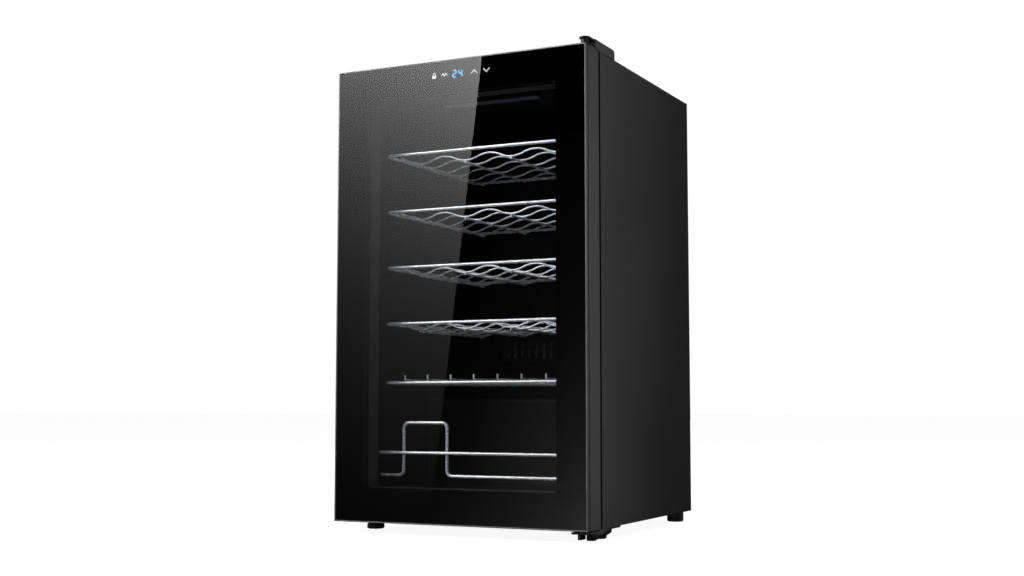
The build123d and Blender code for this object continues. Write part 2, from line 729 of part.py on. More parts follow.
with BuildPart() as condenser_tube:
    snake = [(-joint_x, condenser_y, condenser_top)]
    for run in range(condenser_runs - 1):
        side = condenser_half if run % 2 == 0 else -condenser_half
        run_height = condenser_top - run * condenser_pitch
        snake += [(side, condenser_y, run_height), (side, condenser_y, run_height - condenser_pitch)]
    snake.append((joint_x, condenser_y, condenser_low))
    bent_tube(snake, 0.49 * condenser_pitch, condenser_tube_size)
save("condenser_tube", condenser_tube)

with BuildPart() as condenser_wires:
    fin_wire = 1.6
    fin_reach = 14.0
    fin_offset = condenser_tube_size / 2 + fin_wire / 2 + weld_gap
    fin_count = 22
    for index in range(fin_count):
        x = (index - (fin_count - 1) / 2) * 14
        for y in (condenser_y - fin_offset, condenser_y + fin_offset):
            rod((x, y, condenser_low - fin_reach), (x, y, condenser_top + fin_reach), fin_wire)
save("condenser_wires", condenser_wires)

with BuildPart() as condenser_brackets:
    # Stand-offs between the rear panel and the outer runs of the condenser
    for x in (-160, 160):
        for z in (condenser_low + condenser_pitch, condenser_top - condenser_pitch):
            block((x - 6, x + 6), (cabinet_back, condenser_y - condenser_tube_size / 2 - weld_gap), (z - 8, z + 8))
save("condenser_brackets", condenser_brackets)

with BuildPart() as refrigerant_lines:
    line_height = 115.0
    stub_end = 68.0
    # Discharge: compressor to the top of the condenser
    bent_tube([(compressor_x - stub_end, compressor_y, line_height), (-side_x, compressor_y, line_height),
               (-side_x, condenser_y, line_height), (-side_x, condenser_y, condenser_top),
               (-joint_x, condenser_y, condenser_top)], 12, condenser_tube_size)
    # Liquid: bottom of the condenser to the drier
    bent_tube([(joint_x, condenser_y, condenser_low), (side_x, condenser_y, condenser_low),
               (side_x, condenser_y, 155), (side_x, 190, 155), (side_x, 190, 132)], 10, condenser_tube_size)
    # Suction: evaporator back to the compressor, jogged clear of the capillary's inlet
    suction_x = line_x - 24
    bent_tube([(line_x, line_joint_y, evaporator_outlet_height), (line_x, rear_line_y, evaporator_outlet_height),
               (suction_x, rear_line_y, evaporator_outlet_height), (suction_x, rear_line_y, line_height),
               (suction_x, compressor_y, line_height), (compressor_x + stub_end, compressor_y, line_height)],
              10, line_diameter)
save("refrigerant_lines", refrigerant_lines)

with BuildPart() as filter_drier:
    # Spun copper can with its ends drawn down to the pipe size
    with BuildSketch(Plane.XZ.offset(-190)):
        with BuildLine():
            Polyline((side_x, 62), (side_x + 3, 62), (side_x + 3, 68), (side_x + 9.5, 76), (side_x + 9.5, 118),
                     (side_x + 3, 126), (side_x + 3, 132), (side_x, 132), close=True)
        make_face()
    revolve(axis=Axis((side_x, 190, 0), (0, 0, 1)))
save("filter_drier", filter_drier)

with BuildPart() as capillary_tube:
    bent_tube([(side_x, 190, 62), (side_x, 190, 44), (140, 190, 44), (140, rear_line_y, 44),
               (140, rear_line_y, evaporator_inlet_height), (line_x, rear_line_y, evaporator_inlet_height),
               (line_x, line_joint_y, evaporator_inlet_height)], 8, 2.4)
save("capillary_tube", capillary_tube)

# ---------------------------------------------------------------- mains side
with BuildPart() as control_box:
    box_wall = 2.0
    block((20, 105), (150, 205), (floor_top, 82))
    fillet(control_box.edges().filter_by(Axis.Z), radius=4)
    block((20 + box_wall, 105 - box_wall), (150 + box_wall, 205 - box_wall), (floor_top, 82 - box_wall),
          Mode.SUBTRACT)
    rod((85, 200, 50), (85, 210, 50), 14.2, Mode.SUBTRACT)
save("control_box", control_box)

with BuildPart() as cord_gland:
    # Snap-in inlet bush for the supply lead
    rod((85, 201, 50), (85, 205, 50), 14)
    rod((85, 205, 50), (85, 214, 50), 20)
    chamfer(cord_gland.edges().filter_by(GeomType.CIRCLE).group_by(Axis.Y)[-1], length=2)
    rod((85, 200, 50), (85, 215, 50), 8, Mode.SUBTRACT)
save("cord_gland", cord_gland)

# ---------------------------------------------------------------- door
inner_z = (window_low, window_top)
outer_z = (body_low, body_top)
rebate_half = inner_pane_half + 1
rebate_z = (window_low - inner_pane_margin - 1, window_top + inner_pane_margin + 1)
channel_wall = 2.0

with BuildPart() as door_frame:
    ring((frame_front, door_back), half_width, outer_z, window_half, inner_z)
    fillet(door_frame.edges().filter_by(Axis.Y).group_by(SortBy.DISTANCE)[-1], radius=2)
    ring((frame_front, inner_pane_back), rebate_half, rebate_z, window_half - 1, inner_z, Mode.SUBTRACT)
    # Shadow groove around the outside, behind the glass
    ring((frame_front + 3, frame_front + 5), half_width + 1, (body_low - 1, body_top + 1),
         half_width - 1, (body_low + 1, body_top - 1), Mode.SUBTRACT)
    # Foam channel, narrow in front beside the panes and wide behind them
    channel_z = (body_low + frame_wall, body_top - frame_wall)
    channel_half = half_width - frame_wall
    ring((frame_front, inner_pane_back + 2), channel_half, channel_z, rebate_half + channel_wall,
         (rebate_z[0] - channel_wall, rebate_z[1] + channel_wall), Mode.SUBTRACT)
    ring((inner_pane_back + 2, door_back - frame_wall), channel_half, channel_z, window_half + frame_wall,
         (window_low - frame_wall, window_top + frame_wall), Mode.SUBTRACT)
    # Solid corner blocks that carry the hinge bushes
    corner_low = (body_low + frame_wall - 1, body_low + 22)
    corner_high = (body_top - 22, body_top - frame_wall + 1)
    for corner_z in (corner_low, corner_high):
        block((188, channel_half + 1), (-230, door_back - frame_wall + 1), corner_z)
    rod((pivot_x, pivot_y, top_bush_low), (pivot_x, pivot_y, body_top + 1), bush_shank, Mode.SUBTRACT)
    rod((pivot_x, pivot_y, body_low - 1), (pivot_x, pivot_y, bottom_bush_top), bush_shank, Mode.SUBTRACT)
save("door_frame", door_frame)

with BuildPart() as door_foam:
    ring((frame_front, inner_pane_back + 2), channel_half, channel_z, rebate_half + channel_wall,
         (rebate_z[0] - channel_wall, rebate_z[1] + channel_wall))
    ring((inner_pane_back + 2, door_back - frame_wall), channel_half, channel_z, window_half + frame_wall,
         (window_low - frame_wall, window_top + frame_wall))
    for corner_z in (corner_low, corner_high):
        block((188, half_width), (-230, door_back), corner_z, Mode.SUBTRACT)
    # Recess for the touch board
    block((-62, 72), (frame_front, frame_front + 8), (rebate_z[1] + channel_wall, body_top - frame_wall),
          Mode.SUBTRACT)
save("door_foam", door_foam)

glass_half = half_width - trim_width
glass_z = (body_low + trim_width, body_top - trim_width)

with BuildPart() as door_trim:
    # Thin metal edging around the front pane
    ring((front, frame_front), half_width, outer_z, glass_half, glass_z)
    fillet(door_trim.edges().filter_by(Axis.Y).group_by(SortBy.DISTANCE)[-1], radius=2)
save("door_trim", door_trim)

with BuildPart() as outer_glass:
    block((-glass_half, glass_half), (front, front + glass_thickness), glass_z)
save("outer_glass", outer_glass)

digit_width = 7.2
digit_tall = 12.6
stroke = 1.7
digit_gap = 3.2
lit_segments = {"2": "abged", "4": "fgbc"}


def segment_bar(x, z, length, upright):
    """One lit bar of a display digit, pointed at both ends."""
    half = length / 2
    tip = stroke / 2
    outline = [(-half, 0), (-half + tip, tip), (half - tip, tip), (half, 0), (half - tip, -tip), (-half + tip, -tip)]
    if upright:
        outline = [(v, u) for u, v in outline]
    with Locations((x, z)):
        Polygon(*outline, align=None)


def display_digit(shown, centre_x):
    """A seven-segment digit, made of the bars that are lit."""
    side = (digit_width - stroke) / 2
    rise = (digit_tall - stroke) / 2
    length = rise - 0.4
    places = {
        "a": (0, rise, False), "g": (0, 0, False), "d": (0, -rise, False),
        "f": (-side, rise / 2, True), "b": (side, rise / 2, True),
        "e": (-side, -rise / 2, True), "c": (side, -rise / 2, True),
    }
    for name in lit_segments[shown]:
        dx, dz, upright = places[name]
        segment_bar(centre_x + dx, control_height + dz, length, upright)


def chevron(centre_x, point_up):
    """An open arrow head, up or down."""
    rise = 2.6 if point_up else -2.6
    with BuildLine() as arrow:
        Polyline((centre_x - 5, control_height - rise), (centre_x, control_height + rise),
                 (centre_x + 5, control_height - rise))
        offset(amount=0.6)
    make_face(arrow.line)


def lamp_glyph(centre_x):
    """A zigzag for the interior light."""
    with BuildLine() as zigzag:
        Polyline((centre_x - 5, control_height - 1), (centre_x - 2.5, control_height + 2.5),
                 (centre_x, control_height - 2), (centre_x + 2.5, control_height + 2.5),
                 (centre_x + 5, control_height - 1))
        offset(amount=0.55)
    make_face(zigzag.line)


def lock_glyph(centre_x):
    """A padlock for the key lock."""
    with Locations((centre_x, control_height - 1.6)):
        RectangleRounded(6.4, 5.2, 0.7)
    with Locations((centre_x, control_height + 1)):
        SlotCenterToCenter(3.0, 4.6, rotation=90)
        SlotCenterToCenter(3.0, 2.6, rotation=90, mode=Mode.SUBTRACT)
        with Locations((0, -2.2)):
            Rectangle(6.4, 2.8)


def control_marks():
    """Every mark that shows through the printed border, except the digits."""
    lock_glyph(-41)
    lamp_glyph(-23)
    chevron(29, True)
    chevron(50, False)


def temperature_digits():
    """The two digits of the set temperature."""
    half_step = (digit_width + digit_gap) / 2
    display_digit("2", -half_step)
    display_digit("4", half_step)


print_plane = facing_front(front + glass_thickness)

with BuildPart() as touch_symbols:
    with BuildSketch(print_plane):
        control_marks()
    extrude(amount=-print_thickness)
save("touch_symbols", touch_symbols)

with BuildPart() as display_digits:
    with BuildSketch(print_plane):
        temperature_digits()
    extrude(amount=-print_thickness)
save("display_digits", display_digits)

with BuildPart() as glass_border:
    # Opaque layer printed on the back of the front pane, left clear at the window and the marks
    ring((front + glass_thickness, frame_front), glass_half, glass_z, window_half, inner_z)
    add(touch_symbols.part, mode=Mode.SUBTRACT)
    add(display_digits.part, mode=Mode.SUBTRACT)
save("glass_border", glass_border)

with BuildPart() as glass_spacer:
    ring((frame_front, spacer_back), window_half + 9, (window_low - 9, window_top + 9), window_half + 1,
         (window_low - 1, window_top + 1))
save("glass_spacer", glass_spacer)

with BuildPart() as inner_glass:
    block((-inner_pane_half, inner_pane_half), (spacer_back, inner_pane_back),
          (window_low - inner_pane_margin, window_top + inner_pane_margin))
save("inner_glass", inner_glass)

with BuildPart() as touch_board:
    block((-58, 68), (frame_front, frame_front + 1.6), (rebate_z[1] + channel_wall + 1, body_top - frame_wall - 1))
    block((-14, 14), (frame_front + 1.6, frame_front + 7), (698, 715))
save("touch_board", touch_board)

gasket_half = 192.0
gasket_width = 20.0
gasket_z = (44.0, 706.0)
gasket_inner_z = (gasket_z[0] + gasket_width, gasket_z[1] - gasket_width)
magnet_front = door_back + 1.2
magnet_back = magnet_front + 2.6

with BuildPart() as door_gasket:
    ring((door_back, cabinet_front - 0.3), gasket_half, gasket_z, gasket_half - gasket_width, gasket_inner_z)
    # Bellows groove in the outside edge, and the sleeve that holds the magnet strips
    ring((door_back + 2, door_back + 3.5), gasket_half + 1, (gasket_z[0] - 1, gasket_z[1] + 1),
         gasket_half - 3, (gasket_z[0] + 3, gasket_z[1] - 3), Mode.SUBTRACT)
    ring((magnet_front, magnet_back), gasket_half - 6, (gasket_z[0] + 6, gasket_z[1] - 6),
         gasket_half - 14, (gasket_z[0] + 14, gasket_z[1] - 14), Mode.SUBTRACT)
save("door_gasket", door_gasket)

with BuildPart() as gasket_magnets:
    magnet_mid = gasket_half - 10
    strip = 3.5
    for side in (-1, 1):
        block((side * magnet_mid - strip, side * magnet_mid + strip), (magnet_front + 0.1, magnet_back - 0.1),
              (gasket_z[0] + 16, gasket_z[1] - 16))
    for strip_z in (gasket_z[0] + 10, gasket_z[1] - 10):
        block((-magnet_mid + 6, magnet_mid - 6), (magnet_front + 0.1, magnet_back - 0.1),
              (strip_z - strip, strip_z + strip))
save("gasket_magnets", gasket_magnets)

with BuildPart() as door_bushes:
    # Plastic bearings pressed into the door for the two hinge pins
    rod((pivot_x, pivot_y, top_bush_low), (pivot_x, pivot_y, body_top), bush_shank)
    rod((pivot_x, pivot_y, body_top), (pivot_x, pivot_y, cap_low - 0.2), 12)
    rod((pivot_x, pivot_y, top_bush_low + 1.5), (pivot_x, pivot_y, cap_low), bush_bore, Mode.SUBTRACT)
    rod((pivot_x, pivot_y, body_low), (pivot_x, pivot_y, bottom_bush_top), bush_shank)
    rod((pivot_x, pivot_y, body_low - door_drop + 0.2), (pivot_x, pivot_y, body_low), 14)
    rod((pivot_x, pivot_y, body_low - door_drop), (pivot_x, pivot_y, bottom_bush_top - 1.5), bush_bore,
        Mode.SUBTRACT)
save("door_bushes", door_bushes)
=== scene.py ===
import math

import bmesh
import bpy
from mathutils import Matrix, Vector


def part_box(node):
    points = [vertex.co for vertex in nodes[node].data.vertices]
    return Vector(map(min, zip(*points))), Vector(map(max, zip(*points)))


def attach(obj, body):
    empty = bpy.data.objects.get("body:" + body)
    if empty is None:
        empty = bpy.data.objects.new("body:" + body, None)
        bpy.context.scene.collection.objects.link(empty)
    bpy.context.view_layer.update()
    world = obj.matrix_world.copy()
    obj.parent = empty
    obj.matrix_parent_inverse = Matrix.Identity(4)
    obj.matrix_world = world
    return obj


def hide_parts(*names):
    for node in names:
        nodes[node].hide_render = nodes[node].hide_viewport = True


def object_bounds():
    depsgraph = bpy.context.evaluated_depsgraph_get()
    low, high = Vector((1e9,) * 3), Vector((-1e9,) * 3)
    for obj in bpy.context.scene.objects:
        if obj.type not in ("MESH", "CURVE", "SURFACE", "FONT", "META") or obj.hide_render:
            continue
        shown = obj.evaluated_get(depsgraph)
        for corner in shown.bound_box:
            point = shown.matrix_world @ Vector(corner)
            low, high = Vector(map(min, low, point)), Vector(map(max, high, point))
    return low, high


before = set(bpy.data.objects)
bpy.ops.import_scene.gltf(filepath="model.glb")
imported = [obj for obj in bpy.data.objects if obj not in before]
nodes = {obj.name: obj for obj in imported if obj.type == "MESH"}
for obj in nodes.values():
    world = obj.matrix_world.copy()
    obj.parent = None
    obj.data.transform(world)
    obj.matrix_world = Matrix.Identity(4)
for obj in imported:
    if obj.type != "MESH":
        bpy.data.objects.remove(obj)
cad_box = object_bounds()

# ------------------------------------------------------------------ Camera
# A short telephoto view from low on the hinge side, so that the glass door and the
# right-hand side panel both show.
camera_place = (0.9865, -2.0548, 0.1960)
camera_turn = math.radians(26.17)
camera_tilt = math.radians(94.94)
camera_data = bpy.data.cameras.new("camera")
camera_data.lens = 48.05
camera_data.sensor_width = 36.0
camera_data.clip_end = 100.0
camera = bpy.data.objects.new("camera", camera_data)
camera.location = camera_place
camera.rotation_euler = (camera_tilt, 0.0, camera_turn)
bpy.context.scene.collection.objects.link(camera)
bpy.context.scene.camera = camera

# ------------------------------------------------------------------ Studio
# White sweep and air. The room gives a low even fill, and only the light boxes and the
# two reflector cards show in polished surfaces.
def math_node(tree, operation, clamp=False):
    """A node that does one sum."""
    node = tree.nodes.new("ShaderNodeMath")
    node.operation = operation
    node.use_clamp = clamp
    return node


def set_range(node, start, end, low, high):
    """Make a Map Range node turn start to end into low to high."""
    node.inputs["From Min"].default_value = start
    node.inputs["From Max"].default_value = end
    node.inputs["To Min"].default_value = low
    node.inputs["To Max"].default_value = high


scene = bpy.context.scene
scene.view_settings.view_transform = "Standard"
world = bpy.data.worlds.new("studio_air")
scene.world = world
world.use_nodes = True
air = world.node_tree
air_light = air.nodes["Background"]
air_light.inputs["Color"].default_value = (1.0, 1.0, 1.0, 1.0)
ray_kind = air.nodes.new("ShaderNodeLightPath")
# White where the air is seen directly or through a pane, a low fill for scattered light,
# and nothing for a ray that a pane has mirrored
air_level = air.nodes.new("ShaderNodeMix")
air_fill = 0.15
air_white = 1.02
scattered = math_node(air, "ADD", clamp=True)
straight = math_node(air, "SUBTRACT")
straight.inputs[0].default_value = 1.0
unmirrored = math_node(air, "SUBTRACT", clamp=True)
unmirrored.inputs[0].default_value = 1.0
soft_fill = math_node(air, "MULTIPLY")
soft_fill.inputs[1].default_value = air_fill
air_level.inputs["B"].default_value = air_white
air.links.new(ray_kind.outputs["Glossy Depth"], scattered.inputs[0])
air.links.new(ray_kind.outputs["Diffuse Depth"], scattered.inputs[1])
air.links.new(scattered.outputs[0], straight.inputs[1])
air.links.new(ray_kind.outputs["Glossy Depth"], unmirrored.inputs[1])
air.links.new(unmirrored.outputs[0], soft_fill.inputs[0])
air.links.new(soft_fill.outputs[0], air_level.inputs["A"])
air.links.new(straight.outputs[0], air_level.inputs["Factor"])
air.links.new(air_level.outputs["Result"], air_light.inputs["Strength"])
world.cycles_visibility.glossy = False

floor_mesh = bpy.data.meshes.new("studio_floor")
floor_reach = 30.0
floor_mesh.from_pydata(
    [(-floor_reach, -floor_reach, 0), (floor_reach, -floor_reach, 0),
     (floor_reach, floor_reach, 0), (-floor_reach, floor_reach, 0)], [], [(0, 1, 2, 3)])
studio_floor = bpy.data.objects.new("studio_floor", floor_mesh)
scene.collection.objects.link(studio_floor)
floor_paint = bpy.data.materials.new("pale_floor")
floor_paint.use_nodes = True
floor_shader = floor_paint.node_tree.nodes["Principled BSDF"]
floor_shader.inputs["Base Color"].default_value = (0.30, 0.30, 0.30, 1.0)
floor_shader.inputs["Roughness"].default_value = 0.9
floor_shader.inputs["Specular IOR Level"].default_value = 0.0
floor_shader.inputs["Emission Color"].default_value = (1.0, 1.0, 1.0, 1.0)
floor_shader.inputs["Emission Strength"].default_value = 0.93
floor_mesh.materials.append(floor_paint)
studio_floor.visible_diffuse = False
studio_floor.visible_glossy = False
studio_floor.visible_transmission = False


def light_box(name, place, aim, size, power, tint=(1.0, 1.0, 1.0), through_glass=False):
    """A rectangular soft light, aimed at a point and hidden from the camera.

    Its mirror image shows in surfaces behind a pane only with through_glass.
    """
    lamp = bpy.data.lights.new(name, "AREA")
    lamp.shape = "RECTANGLE"
    lamp.size, lamp.size_y = size
    lamp.energy = power
    lamp.color = tint
    box = bpy.data.objects.new(name, lamp)
    box.location = place
    box.rotation_euler = (Vector(aim) - Vector(place)).to_track_quat("-Z", "Y").to_euler()
    box.visible_camera = False
    box.visible_transmission = through_glass
    scene.collection.objects.link(box)
    return box


light_box("top_light", (0.2, 0.3, 2.7), (0.0, 0.0, 0.4), (2.0, 2.0), 18.0)
light_box("front_light", (-2.5, -2.9, 2.75), (0.0, -0.2, 0.35), (2.4, 1.9), 112.0, through_glass=True)
light_box("side_sheen", (1.96, 2.31, 0.65), (0.215, -0.185, 0.40), (0.95, 2.0), 6.5)
light_box("side_light", (3.0, -1.2, 1.2), (0.2, -0.1, 0.42), (1.4, 1.4), 8.0)
light_box("rear_light", (-1.4, 3.0, 1.9), (0.0, 0.2, 0.4), (1.8, 1.2), 40.0)
light_box("left_light", (-3.0, 0.6, 1.4), (-0.2, 0.0, 0.4), (1.4, 1.4), 16.0)

# Reflector card. The polished door mirrors it as a pale sheen over its left half, with a
# slanted edge, bright at the top and gone at the bottom.
card_depth = -3.0
card_edge_low = (-1.738, -1.30)
card_edge_high = (-1.272, 2.50)
card_far = -5.0
card_mesh = bpy.data.meshes.new("reflector_card")
card_mesh.from_pydata(
    [(card_far, card_depth, card_edge_low[1]), (card_edge_low[0], card_depth, card_edge_low[1]),
     (card_edge_high[0], card_depth, card_edge_high[1]), (card_far, card_depth, card_edge_high[1])],
    [], [(3, 2, 1, 0)])
reflector_card = bpy.data.objects.new("reflector_card", card_mesh)
scene.collection.objects.link(reflector_card)
card_glow = bpy.data.materials.new("card_glow")
card_glow.use_nodes = True
card_tree = card_glow.node_tree
card_tree.nodes.clear()
card_out = card_tree.nodes.new("ShaderNodeOutputMaterial")
card_light = card_tree.nodes.new("ShaderNodeEmission")
card_spot = card_tree.nodes.new("ShaderNodeTexCoord")
card_split = card_tree.nodes.new("ShaderNodeSeparateXYZ")
card_rise = card_tree.nodes.new("ShaderNodeMapRange")
set_range(card_rise, -0.25, 1.55, -2.6, 1.69)
card_rise.clamp = False
card_across = card_tree.nodes.new("ShaderNodeMapRange")
set_range(card_across, -2.05, -1.55, -0.55, 0.0)
card_across.clamp = False
card_sum = math_node(card_tree, "ADD")
card_power = math_node(card_tree, "EXPONENT")
card_tree.links.new(card_spot.outputs["Object"], card_split.inputs[0])
card_tree.links.new(card_split.outputs["Z"], card_rise.inputs["Value"])
card_tree.links.new(card_split.outputs["X"], card_across.inputs["Value"])
card_tree.links.new(card_rise.outputs[0], card_sum.inputs[0])
card_tree.links.new(card_across.outputs[0], card_sum.inputs[1])
card_tree.links.new(card_sum.outputs[0], card_power.inputs[0])
card_tree.links.new(card_power.outputs[0], card_light.inputs["Strength"])
card_tree.links.new(card_light.outputs[0], card_out.inputs["Surface"])
card_mesh.materials.append(card_glow)

# A second, low card gives the faint sheen at the lower right of the door.
low_card_foot = (-1.70, -1.0)
low_card_head = (-1.43, 1.2)
low_card_right = -0.60
low_card_mesh = bpy.data.meshes.new("low_card")
low_card_mesh.from_pydata(
    [(low_card_foot[0], card_depth, low_card_foot[1]), (low_card_right, card_depth, low_card_foot[1]),
     (low_card_right, card_depth, low_card_head[1]), (low_card_head[0], card_depth, low_card_head[1])],
    [], [(3, 2, 1, 0)])
low_card = bpy.data.objects.new("low_card", low_card_mesh)
scene.collection.objects.link(low_card)
low_glow = card_glow.copy()
low_glow.name = "low_card_glow"
low_rise, low_across = [node for node in low_glow.node_tree.nodes if node.type == "MAP_RANGE"]
set_range(low_rise, -0.2, 0.85, -0.70, -3.6)
set_range(low_across, -1.6, -1.0, -1.9, 0.0)
low_card_mesh.materials.append(low_glow)
for card in (reflector_card, low_card):
    card.visible_camera = False
    card.visible_diffuse = False
    card.visible_transmission = False
    card.visible_shadow = False


# ------------------------------------------------------------------ Outer wrapper and front strip
# Thin steel sheet, folded over the top and both sides and powder coated dark grey. The
# coat has a fine orange peel, and slow changes of tone where it was sprayed thicker.
def node_group(name, inputs, outputs):
    """An empty shader group with the given input and output sockets."""
    group = bpy.data.node_groups.new(name, "ShaderNodeTree")
    for label, kind, value in inputs:
        socket = group.interface.new_socket(name=label, in_out="INPUT", socket_type=kind)
        socket.default_value = value
    for label, kind in outputs:
        group.interface.new_socket(name=label, in_out="OUTPUT", socket_type=kind)
    return group, group.nodes.new("NodeGroupInput"), group.nodes.new("NodeGroupOutput")


COLOUR, NUMBER, VECTOR = "NodeSocketColor", "NodeSocketFloat", "NodeSocketVector"
GREY = (0.5, 0.5, 0.5, 1.0)

surface_grain, grain_in, grain_out = node_group(
    "surface_grain",
    [("Tone", COLOUR, GREY), ("Second Tone", COLOUR, GREY), ("Grain Size", NUMBER, 900.0),
     ("Patch Size", NUMBER, 7.0), ("Rough Low", NUMBER, 0.3), ("Rough High", NUMBER, 0.4),
     ("Relief", NUMBER, 0.2), ("Dust", NUMBER, 0.0), ("Lip Shade", NUMBER, 0.0)],
    [("Colour", COLOUR), ("Roughness", NUMBER), ("Normal", VECTOR)])
place = surface_grain.nodes.new("ShaderNodeTexCoord")
fine = surface_grain.nodes.new("ShaderNodeTexNoise")
fine.inputs["Detail"].default_value = 3.0
patch = surface_grain.nodes.new("ShaderNodeTexNoise")
patch.inputs["Detail"].default_value = 4.0
tone_mix = surface_grain.nodes.new("ShaderNodeMix")
tone_mix.data_type = "RGBA"
rough_range = surface_grain.nodes.new("ShaderNodeMapRange")
rough_range.inputs["From Min"].default_value = 0.3
rough_range.inputs["From Max"].default_value = 0.7
relief = surface_grain.nodes.new("ShaderNodeBump")
relief.inputs["Distance"].default_value = 0.0002
wire = surface_grain.links.new
wire(place.outputs["Object"], fine.inputs["Vector"])
wire(place.outputs["Object"], patch.inputs["Vector"])
wire(grain_in.outputs["Grain Size"], fine.inputs["Scale"])
wire(grain_in.outputs["Patch Size"], patch.inputs["Scale"])
wire(patch.outputs["Fac"], tone_mix.inputs["Factor"])
wire(grain_in.outputs["Tone"], tone_mix.inputs[6])
wire(grain_in.outputs["Second Tone"], tone_mix.inputs[7])
# Dust settles on faces that look up, and is thinner where the slow noise is low
upward = surface_grain.nodes.new("ShaderNodeNewGeometry")
upward_split = surface_grain.nodes.new("ShaderNodeSeparateXYZ")
settled_dust = math_node(surface_grain, "MULTIPLY", clamp=True)
patchy_dust = math_node(surface_grain, "MULTIPLY", clamp=True)
dust_mix = surface_grain.nodes.new("ShaderNodeMix")
dust_mix.data_type = "RGBA"
dust_colour = (0.30, 0.28, 0.25, 1.0)
dust_mix.inputs[7].default_value = dust_colour
wire(upward.outputs["Normal"], upward_split.inputs[0])
wire(upward_split.outputs["Z"], settled_dust.inputs[0])
wire(grain_in.outputs["Dust"], settled_dust.inputs[1])
wire(settled_dust.outputs[0], patchy_dust.inputs[0])
wire(patch.outputs["Fac"], patchy_dust.inputs[1])
wire(patchy_dust.outputs[0], dust_mix.inputs["Factor"])
wire(tone_mix.outputs[2], dust_mix.inputs[6])
# Painted shade: faces that look straight forward, into the shadowed gap behind the door or pane, go nearly
# black
lip_split = surface_grain.nodes.new("ShaderNodeSeparateXYZ")
lip_range = surface_grain.nodes.new("ShaderNodeMapRange")
lip_range.inputs["From Min"].default_value = -0.9
lip_range.inputs["From Max"].default_value = -1.0
lip_mix = surface_grain.nodes.new("ShaderNodeMix")
lip_mix.data_type = "RGBA"
lip_painted_shade = (0.002, 0.002, 0.002, 1.0)
lip_mix.inputs[7].default_value = lip_painted_shade
wire(place.outputs["Normal"], lip_split.inputs[0])
wire(lip_split.outputs["Y"], lip_range.inputs["Value"])
wire(grain_in.outputs["Lip Shade"], lip_range.inputs["To Max"])
wire(lip_range.outputs[0], lip_mix.inputs["Factor"])
wire(dust_mix.outputs[2], lip_mix.inputs[6])
wire(lip_mix.outputs[2], grain_out.inputs["Colour"])
wire(patch.outputs["Fac"], rough_range.inputs["Value"])
wire(grain_in.outputs["Rough Low"], rough_range.inputs["To Min"])
wire(grain_in.outputs["Rough High"], rough_range.inputs["To Max"])
wire(rough_range.outputs[0], grain_out.inputs["Roughness"])
wire(fine.outputs["Fac"], relief.inputs["Height"])
wire(grain_in.outputs["Relief"], relief.inputs["Strength"])
wire(relief.outputs["Normal"], grain_out.inputs["Normal"])


def finish(name, group, settings, shader_values=None):
    """A material whose colour, roughness and relief come from a group."""
    material = bpy.data.materials.new(name)
    material.use_nodes = True
    tree = material.node_tree
    shader = tree.nodes["Principled BSDF"]
    for socket, value in (shader_values or {}).items():
        shader.inputs[socket].default_value = value
    effect = tree.nodes.new("ShaderNodeGroup")
    effect.node_tree = group
    for socket, value in settings.items():
        effect.inputs[socket].default_value = value
    tree.links.new(effect.outputs["Colour"], shader.inputs["Base Color"])
    tree.links.new(effect.outputs["Roughness"], shader.inputs["Roughness"])
    tree.links.new(effect.outputs["Normal"], shader.inputs["Normal"])
    return material


def rgb(red, green, blue):
    """A colour with full alpha."""
    return (red, green, blue, 1.0)


def coat(material, *names):
    """Give CAD nodes their finish."""
    for name in names:
        for holder in nodes[name].material_slots:
            holder.material = material


# Faces of the wrapper and strip that look straight forward get the painted shade of the gap behind the door.
powder_coat = finish(
    "dark_powder_coat", surface_grain,
    {"Tone": rgb(0.026, 0.026, 0.027), "Second Tone": rgb(0.032, 0.032, 0.033), "Grain Size": 1400.0,
     "Patch Size": 3.0, "Rough Low": 0.20, "Rough High": 0.25, "Relief": 0.04, "Lip Shade": 1.0})
coat(powder_coat, "outer_wrapper", "front_strip")

# ------------------------------------------------------------------ Base pan, bay panel and nut plates
# Galvanised sheet, cut and folded. The crystals of the zinc show as pale and dull
# flakes.
spangle, spangle_in, spangle_out = node_group(
    "zinc_spangle",
    [("Tone", COLOUR, GREY), ("Second Tone", COLOUR, GREY), ("Crystal Size", NUMBER, 90.0),
     ("Rough Low", NUMBER, 0.3), ("Rough High", NUMBER, 0.5), ("Relief", NUMBER, 0.1)],
    [("Colour", COLOUR), ("Roughness", NUMBER), ("Normal", VECTOR)])
place = spangle.nodes.new("ShaderNodeTexCoord")
crystal = spangle.nodes.new("ShaderNodeTexVoronoi")
crystal_value = spangle.nodes.new("ShaderNodeSeparateColor")
tone_mix = spangle.nodes.new("ShaderNodeMix")
tone_mix.data_type = "RGBA"
rough_range = spangle.nodes.new("ShaderNodeMapRange")
relief = spangle.nodes.new("ShaderNodeBump")
relief.inputs["Distance"].default_value = 0.0002
wire = spangle.links.new
wire(place.outputs["Object"], crystal.inputs["Vector"])
wire(spangle_in.outputs["Crystal Size"], crystal.inputs["Scale"])
wire(crystal.outputs["Color"], crystal_value.inputs[0])
wire(crystal_value.outputs[0], tone_mix.inputs["Factor"])
wire(spangle_in.outputs["Tone"], tone_mix.inputs[6])
wire(spangle_in.outputs["Second Tone"], tone_mix.inputs[7])
wire(tone_mix.outputs[2], spangle_out.inputs["Colour"])
wire(crystal_value.outputs[1], rough_range.inputs["Value"])
wire(spangle_in.outputs["Rough Low"], rough_range.inputs["To Min"])
wire(spangle_in.outputs["Rough High"], rough_range.inputs["To Max"])
wire(rough_range.outputs[0], spangle_out.inputs["Roughness"])
wire(crystal_value.outputs[2], relief.inputs["Height"])
wire(spangle_in.outputs["Relief"], relief.inputs["Strength"])
wire(relief.outputs["Normal"], spangle_out.inputs["Normal"])
